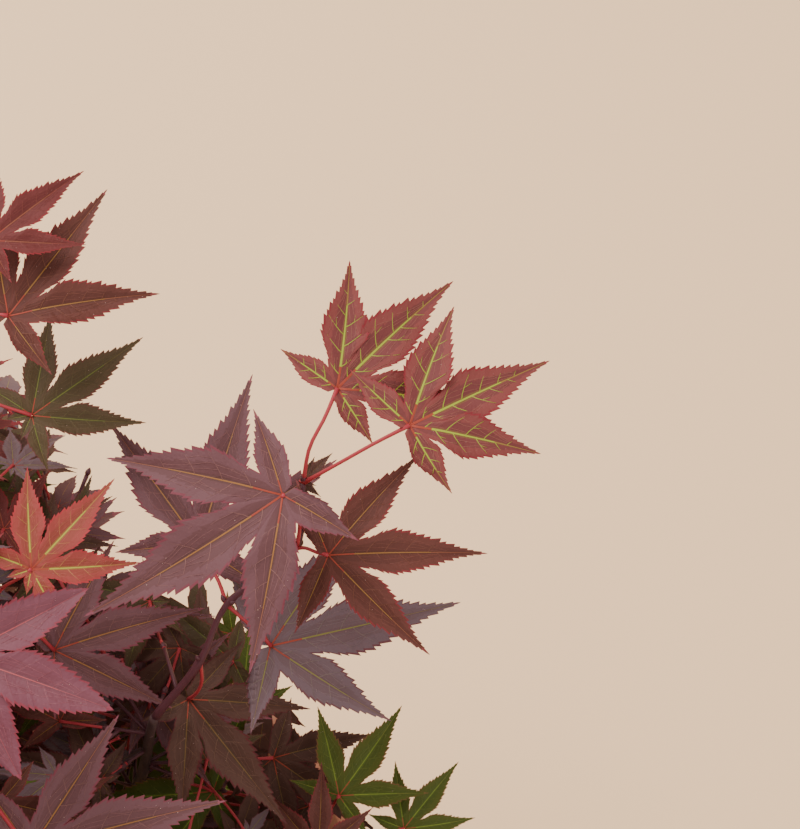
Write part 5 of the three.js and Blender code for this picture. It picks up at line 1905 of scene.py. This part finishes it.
class MAPLE_OT_soil(bpy.types.Operator):
    """Makes the domed soil in the pot and the moss that covers it"""

    bl_idname = "maple.soil"
    bl_label = "Soil and moss"

    # The soil: its rings as shares of its radius, its gap to the wall and where its hummocks fade
    SIDES = 96
    RINGS = np.linspace(0.94, 0.03, 24)
    SIDE_GAP = 0.1
    HUMMOCK = 2.2
    LEVEL_UNTIL = 12
    RISE_OVER = 20
    FALL_OVER = 8

    # The moss: how much of the soil it covers, its tones, and the sprigs with their spikes
    TUFTS = 3400
    SPIKES = 6
    MOSS_EDGE = 2
    COVER = 0.55
    BARE = 0.7
    DENSE = 0.4
    ROOTED = 0.6
    TONES = (3, 0.45)
    SPRIG_LENGTH = (1.8, 2.6)
    SPIKE_LEAN = (0.25, 0.75)
    SPIKE_LENGTH = (0.6, 0.5)
    SPIKE_WIDE_AT = 0.35
    SPIKE_WIDTH = 0.5
    SPIKE_DEPTH = 0.22

    def height(self, x, y, slope_radius):
        """The soil's height over a place, with its small hummocks."""
        radius = math.hypot(x, y)
        share = max(0.0, (radius - SEAT_RADIUS) / (slope_radius - SEAT_RADIUS))
        hummock = waves(x, y, 0.05, 3) * self.HUMMOCK + waves(x, y, 0.2, 7)
        level = clipped((radius - self.LEVEL_UNTIL) / self.RISE_OVER)
        level *= clipped((slope_radius - radius) / self.FALL_OVER)
        return SOIL_TOP - SOIL_DOME * share * share + hummock * level

    def execute(self, context):
        tints = context.scene.maple_tints
        edge_radius = inner_radius(SOIL_TOP - SOIL_DOME) - self.SIDE_GAP
        low_radius = inner_radius(POT_FLOOR) - self.SIDE_GAP
        form = bmesh.new()
        bmesh.ops.create_circle(form, cap_ends=False, segments=self.SIDES, radius=edge_radius * MM)
        ring = form.edges[:]
        for share in self.RINGS:
            verts, ring = extruded(form, ring)
            for vert in verts:
                vert.co = vert.co.normalized() * edge_radius * share * MM
        bmesh.ops.contextual_create(form, geom=ring)
        for vert in form.verts:
            vert.co.z = self.height(vert.co.x / MM, vert.co.y / MM, edge_radius) * MM
        verts, _ = extruded(form, [edge for edge in form.edges if edge.is_boundary])
        for vert in verts:
            vert.co *= low_radius / edge_radius
            vert.co.z = (POT_FLOOR + CLEARANCE) * MM
        bmesh.ops.contextual_create(form, geom=[edge for edge in form.edges if edge.is_boundary])
        soil = bmesh_piece("mossy_soil", form, [soil_paint(tints)], True)
        settle(soil, "moss", "soil")
        self.add_moss(tints, edge_radius)
        return {"FINISHED"}

    def add_moss(self, tints, edge_radius):
        """Sprigs of moss in cushions: each sprig is a bunch of thin closed spikes."""
        stack = Stack()
        trunk_room = TRUNK_RADIUS + FLARE
        for tuft in range(self.TUFTS):
            turn = chance(tuft, 61) * math.tau
            radius = math.sqrt(chance(tuft, 62)) * (edge_radius - self.MOSS_EDGE)
            x, y = math.cos(turn) * radius, math.sin(turn) * radius
            cover = waves(x, y, 0.035, 11) + self.COVER
            is_under_trunk = math.hypot(x - TRUNK_FOOT[0], y - TRUNK_FOOT[1]) < trunk_room
            if cover < chance(tuft, 63) * self.BARE or is_under_trunk:
                continue
            foot = np.array([x, y, self.height(x, y, edge_radius) - self.ROOTED])
            tones, middle = self.TONES
            zone = min(tones - 1, int(tones * max(0, waves(x, y, 0.06, 5) + middle)))
            size = rolled(self.SPRIG_LENGTH, chance(tuft, 64)) + max(0, cover - self.DENSE)
            for spike in range(self.SPIKES):
                heading = (spike + chance(tuft, spike, 65)) / self.SPIKES * math.tau
                lean = rolled(self.SPIKE_LEAN, chance(tuft, spike, 66))
                way = np.array([math.cos(heading) * lean, math.sin(heading) * lean, 1])
                tip = foot + way * size * rolled(self.SPIKE_LENGTH, chance(tuft, spike, 67))
                self.add_spike(stack, foot, tip, way, zone)
        moss = stack.piece("moss", [
            moss_paint("moss_deep", shade(tints.moss, 0.55)),
            moss_paint("moss_green", tints.moss),
            moss_paint("moss_pale", shade(tints.moss, 1.6)),
        ], False)
        settle(moss, "moss", "soil")

    def add_spike(self, stack, foot, tip, way, zone):
        """A closed spike with four sides, widest near its foot."""
        side = unit(cross(way, Z) + (1e-4, 0, 0))
        over = unit(cross(side, way)) * self.SPIKE_DEPTH
        side = side * self.SPIKE_WIDTH
        wide = foot + (tip - foot) * self.SPIKE_WIDE_AT
        points = np.array([foot, wide + side, wide + over, wide - side, wide - over, tip])
        faces = [(0, 2, 1, -1), (0, 3, 2, -1), (0, 4, 3, -1), (0, 1, 4, -1)]
        faces += [(5, 1, 2, -1), (5, 2, 3, -1), (5, 3, 4, -1), (5, 4, 1, -1)]
        stack.add(points, faces, np.full(len(faces), zone))


class MAPLE_OT_limbs(bpy.types.Operator):
    """Makes the trunk and the boughs with the relief of their bark"""

    bl_idname = "maple.limbs"
    bl_label = "Trunk and boughs"

    # Sides of a limb and the distance between its rings, then its collar, its relief and its colours
    TRUNK_RINGS = (40, 1.2)
    BOUGH_RINGS = (14, 2.6)
    LEAST_STEPS = 8
    COLLAR = 0.5
    COLLAR_FADE = 5
    FORK_SINK = 2
    FORK_FADE = 14
    FORK_AT = 0.9
    THINNING = 0.34
    TRUNK_STREAKS = 0.055
    BOUGH_STREAKS = 0.05
    STREAKS_ROUND = 2.1
    STREAKS_ALONG = 0.045
    KNOTS = 0.025
    KNOT_SCALE = 0.11
    TRUNK_STREAK_COLOUR = (0.2, 0.17, 0.13)
    BOUGH_STREAK_COLOUR = (0.09, 0.055, 0.05)
    BOUGH_MIX = (0.25, 0.45)

    def limb_form(self, form, limb, sides, spacing):
        """One closed limb, extruded ring by ring along its route, with a collar where it starts."""
        length = limb.route.lengths[-1]
        steps = max(self.LEAST_STEPS, round(length / spacing))
        is_trunk = limb.name == "trunk"
        streaks = self.TRUNK_STREAKS if is_trunk else self.BOUGH_STREAKS
        points = np.array([limb.route.point(step / steps) for step in range(steps + 1)])
        collar, fade = limb.radii[0] * self.COLLAR, self.COLLAR_FADE
        if limb.name == "leader":
            points[0] -= limb.route.way(0) * self.FORK_SINK
            collar, fade = FORK_RADIUS - limb.radii[0], self.FORK_FADE
        across, over = frames_along(points)
        verts = bmesh.ops.create_circle(form, cap_ends=True, segments=sides, radius=MM)["verts"]
        edges = list({edge for vert in verts for edge in vert.link_edges})
        for step in range(steps + 1):
            if step:
                verts, edges = extruded(form, edges)
            share = step / steps
            knot = noise.noise(Vector(points[step] * self.KNOT_SCALE)) * self.KNOTS
            for number in range(sides):
                turn = number / sides * math.tau
                height = share * length * self.STREAKS_ALONG
                streak = waves(math.cos(turn), math.sin(turn), self.STREAKS_ROUND, height)
                radius = limb.radius(share, turn) * (1 + streaks * streak + knot)
                if not is_trunk:
                    radius *= 1 - self.THINNING * share
                    radius += collar * math.exp(-share * length / fade)
                place = points[step] + (across[step] * math.cos(turn) + over[step] * math.sin(turn)) * radius
                verts[number].co = Vector(place * MM)
        bmesh.ops.contextual_create(form, geom=edges)

    def execute(self, context):
        tints = context.scene.maple_tints
        limbs, _ = plant()
        form = bmesh.new()
        self.limb_form(form, limbs[0], *self.TRUNK_RINGS)
        trunk_pair = (tints.bark, self.TRUNK_STREAK_COLOUR)
        trunk = bmesh_piece("trunk_bark", form, [bark_paint("trunk_bark", [trunk_pair], 1)], True)
        form = bmesh.new()
        for limb in limbs[1:]:
            self.limb_form(form, limb, *self.BOUGH_RINGS)
        of_bark, of_twig = self.BOUGH_MIX
        colour = tuple(bark * of_bark + twig * of_twig for bark, twig in zip(tints.bark, tints.twig))
        pairs = [trunk_pair, (colour, self.BOUGH_STREAK_COLOUR)]
        fork = Vector(limbs[0].route.point(self.FORK_AT)) * MM
        boughs = bmesh_piece("bough_bark", form, [bark_paint("bough_bark", pairs, 2, fork)], True)
        settle(trunk, "bark", "trunk")
        settle(boughs, "bark", *(limb.name for limb in limbs[1:]))
        return {"FINISHED"}


class MAPLE_OT_twigs(bpy.types.Operator):
    """Makes the twigs with their nodes and buds, and the leaf stalks"""

    bl_idname = "maple.twigs"
    bl_label = "Twigs and leaf stalks"

    # Radii in millimetres of long twigs, of plain ones, of buds and of stalks, with how they swell
    STEPS = 8
    THICK = 1.5
    TAPER = 0.8
    SWELL = 0.25
    SWELL_REACH = 0.9
    SINK = 2.5
    PLAIN_POINTS = 5
    SIDE_THICK = 0.95
    FINE_THICK = 0.75
    PLAIN_TAPER = 0.3
    PLAIN_HEAD = 1.3
    TIP_BUD = 3.2
    SIDE_BUD = 2.6
    BUD_POINTS = 6
    BUD_WIDTH = 0.34
    BUD_FORM = (0.18, 0.8)
    STALK_RADIUS = 0.56
    STALK_FOOT = 0.34
    STALK_HEAD = 0.2
    STALK_FADE = 12

    def twig_line(self, twig):
        """A finer line through the twig's points, with its radius: swollen at nodes, thin at the tip."""
        points = twig.points
        if twig.radius == TWIG_RADIUS:
            line = smooth_line(points, self.STEPS)
            shares = np.linspace(0, 1, len(line))
            radii = self.THICK - self.TAPER * shares ** 0.6
            from_node = np.arange(len(line)) % self.STEPS
            from_node = np.minimum(from_node, self.STEPS - from_node)
            radii *= 1 + self.SWELL * np.exp(-(from_node / self.SWELL_REACH) ** 2) * (shares > 0.02)
            line[0] = line[0] - twig.first_way * self.SINK
            return line, radii
        line = np.linspace(points[0], points[-1], self.PLAIN_POINTS)
        thick = self.SIDE_THICK if twig.radius == SIDE_TWIG_RADIUS else self.FINE_THICK
        radii = thick * (1 - self.PLAIN_TAPER * np.linspace(0, 1, self.PLAIN_POINTS))
        radii[-1] *= self.PLAIN_HEAD
        return line, radii

    def add_bud(self, stack, place, way, length):
        """A pointed bud from a place on the twig."""
        shares = np.linspace(0, 1, self.BUD_POINTS)
        line = place + way * length * shares[:, None]
        widths = np.sin(math.pi * rolled(self.BUD_FORM, shares))
        stack.add_tube(line, self.BUD_WIDTH * length * widths + 0.02, 6)

    def execute(self, context):
        tints = context.scene.maple_tints
        _, masses = plant()
        twigs, stalks = Stack(), Stack()
        for mass in masses:
            for number, twig in enumerate(mass.twigs):
                if not twig.has_leaves:
                    continue
                line, radii = self.twig_line(twig)
                sides = 8 if twig.radius == TWIG_RADIUS else 6
                twigs.add_tube(line, radii, sides, twig.first_way if number == 0 else None)
                way = unit(twig.points[-1] - twig.points[-2])
                self.add_bud(twigs, twig.points[-1], way, self.TIP_BUD)
                if twig.radius == TWIG_RADIUS:
                    for node in range(1, len(twig.points) - 1):
                        lateral = pair_side(unit(twig.points[node] - twig.points[node - 1]), node)
                        for sign in (1, -1):
                            heading = unit(lateral * sign + way * 0.9)
                            self.add_bud(twigs, twig.points[node] + heading * 0.9, heading, self.SIDE_BUD)
            for number, leaf in enumerate(mass.leaves):
                key = mass.seed * 100 + number
                line = petiole_line(leaf, key)
                shares = np.linspace(0, 1, len(line))
                radii = self.STALK_RADIUS + self.STALK_FOOT * np.exp(-shares * self.STALK_FADE)
                radii += self.STALK_HEAD * np.exp(-(1 - shares) * self.STALK_FADE)
                radii *= min(1, 0.55 + leaf.length / 110)
                stalks.add_tube(line, radii, 8 if leaf.is_finest else 6)
        names = [mass.owner for mass in masses]
        settle(twigs.piece("twigs", [twig_paint(tints)]), "twig", *names)
        settle(stalks.piece("leaf_stalks", [petiole_paint(tints)]), "petiole", *names)
        return {"FINISHED"}


class MAPLE_OT_leaves(bpy.types.Operator):
    """Makes the leaves, one joined piece or more for each tint"""

    bl_idname = "maple.leaves"
    bl_label = "Leaves"

    MOST_FACES = 90000

    @staticmethod
    def tint_of(mass, number, leaf):
        """A leaf's own tint, or else its mass's, with a leaf here and there in that of another mass."""
        if leaf.tint:
            return leaf.tint
        roll = chance(mass.seed, number, 71)
        if mass.bough.name in SHADED_MASSES:
            return SHADED_TINTS[int(roll * len(SHADED_TINTS))]
        if leaf.base[2] < CROWN_CENTRE[2] - LOW_FROM * CROWN_REACH[2]:
            return LOW_TINTS[int(roll * len(LOW_TINTS))]
        if roll < ODD_TINTS:
            return MASS_TINTS[int(roll / ODD_TINTS * len(MASS_TINTS))]
        return MASS_TINTS[mass.seed % len(MASS_TINTS)]

    def execute(self, context):
        _, masses = plant()
        stacks = {}
        for mass in masses:
            for number, leaf in enumerate(mass.leaves):
                tint = self.tint_of(mass, number, leaf)
                pieces = stacks.setdefault(tint, [(Stack(), set())])
                if sum(len(faces) for faces in pieces[-1][0].faces) > self.MOST_FACES:
                    pieces.append((Stack(), set()))
                stack, owners = pieces[-1]
                add_leaf(stack, leaf, mass.seed * 100 + number, tint)
                owners.add(mass.owner)
        for tint, pieces in stacks.items():
            colours = {**LEAF_TINTS[tint], "root": ROOT_COLOUR, "speck": SPECK_COLOUR}
            colours["end"] = [between(pair, 0.5) for pair in zip(colours["vein"], colours["tip"])]
            sheen = SHEENS.get(tint, SHEEN)
            paints = [leaf_paint(f"{tint}_{zone}", tone(*colours[zone]), zone, sheen) for zone in ZONES]
            for number, (stack, owners) in enumerate(pieces, 1):
                piece = stack.piece(f"leaves_{tint}_{number}", paints)
                settle(piece, colours["slot"], *sorted(owners))
        return {"FINISHED"}


class MAPLE_OT_stage(bpy.types.Operator):
    """Makes the plain floor, the lamps and the camera"""

    bl_idname = "maple.stage"
    bl_label = "Stage"

    # Each lamp: its place from the middle of the crown, its side in metres and its share of the power
    LAMPS = (
        ("key", (-1.0, 0.9, 1.9), 1.6, 1),
        ("fill", (1.4, -1.2, 1.2), 1.8, 0.3),
    )
    SKY_COLOUR = (1.0, 0.97, 0.92, 1)
    SENSOR_WIDTH = 36

    @staticmethod
    def aim(item, place, way):
        """Stands a lamp or the camera at a place, facing a way."""
        item.location = place
        item.rotation_euler = way.to_track_quat("-Z", "Y").to_euler()

    def execute(self, context):
        sizes = context.scene.maple_stage
        form = bmesh.new()
        bmesh.ops.create_grid(form, x_segments=1, y_segments=1, size=sizes.floor_reach)
        floor = bmesh_piece("floor", form, [floor_paint(context.scene.maple_tints)])

        world = bpy.data.worlds.new("soft sky")
        context.scene.world = world
        world.use_nodes = True
        sky = world.node_tree.nodes["Background"]
        sky.inputs["Color"].default_value = self.SKY_COLOUR
        sky.inputs["Strength"].default_value = sizes.sky
        middle = Vector(CROWN_CENTRE) * MM
        for name, away, side, share in self.LAMPS:
            data = bpy.data.lights.new(name, "AREA")
            data.size = side
            data.energy = sizes.key_power * share
            place = middle + Vector(away)
            self.aim(placed(name, data), place, middle - place)

        data = bpy.data.cameras.new("camera")
        data.lens = sizes.lens
        data.sensor_width = self.SENSOR_WIDTH
        camera = placed("camera", data)
        self.aim(camera, Vector(VIEW_MIDDLE + NEAR * VIEW_DISTANCE) * MM, -Vector(NEAR))
        context.scene.camera = camera
        return {"FINISHED"}


OPERATORS = (MAPLE_OT_stage, MAPLE_OT_pot, MAPLE_OT_soil, MAPLE_OT_limbs, MAPLE_OT_twigs, MAPLE_OT_leaves)


class MAPLE_PT_panel(bpy.types.Panel):
    """A button for each group of pieces, and a field for each size and colour"""

    bl_idname = "MAPLE_PT_panel"
    bl_label = "Potted maple"
    bl_space_type = "VIEW_3D"
    bl_region_type = "UI"
    bl_category = "Maple"

    def draw(self, context):
        for operator in OPERATORS:
            self.layout.operator(operator.bl_idname)
        for group in (context.scene.maple_tints, context.scene.maple_leaves, context.scene.maple_stage):
            for name in group.bl_rna.properties.keys()[2:]:
                self.layout.prop(group, name)


CLASSES = (Tints, LeafSizes, StageSizes, *OPERATORS, MAPLE_PT_panel)


def register():
    for item in CLASSES:
        bpy.utils.register_class(item)
    bpy.types.Scene.maple_tints = bpy.props.PointerProperty(type=Tints)
    bpy.types.Scene.maple_leaves = bpy.props.PointerProperty(type=LeafSizes)
    bpy.types.Scene.maple_stage = bpy.props.PointerProperty(type=StageSizes)


def unregister():
    del bpy.types.Scene.maple_tints
    del bpy.types.Scene.maple_leaves
    del bpy.types.Scene.maple_stage
    for item in reversed(CLASSES):
        bpy.utils.unregister_class(item)


def main():
    register()
    bpy.ops.maple.stage()
    bpy.ops.maple.pot()
    bpy.ops.maple.soil()
    bpy.ops.maple.limbs()
    bpy.ops.maple.twigs()
    bpy.ops.maple.leaves()
    bpy.context.view_layer.update()


if __name__ == "__main__":
    main()
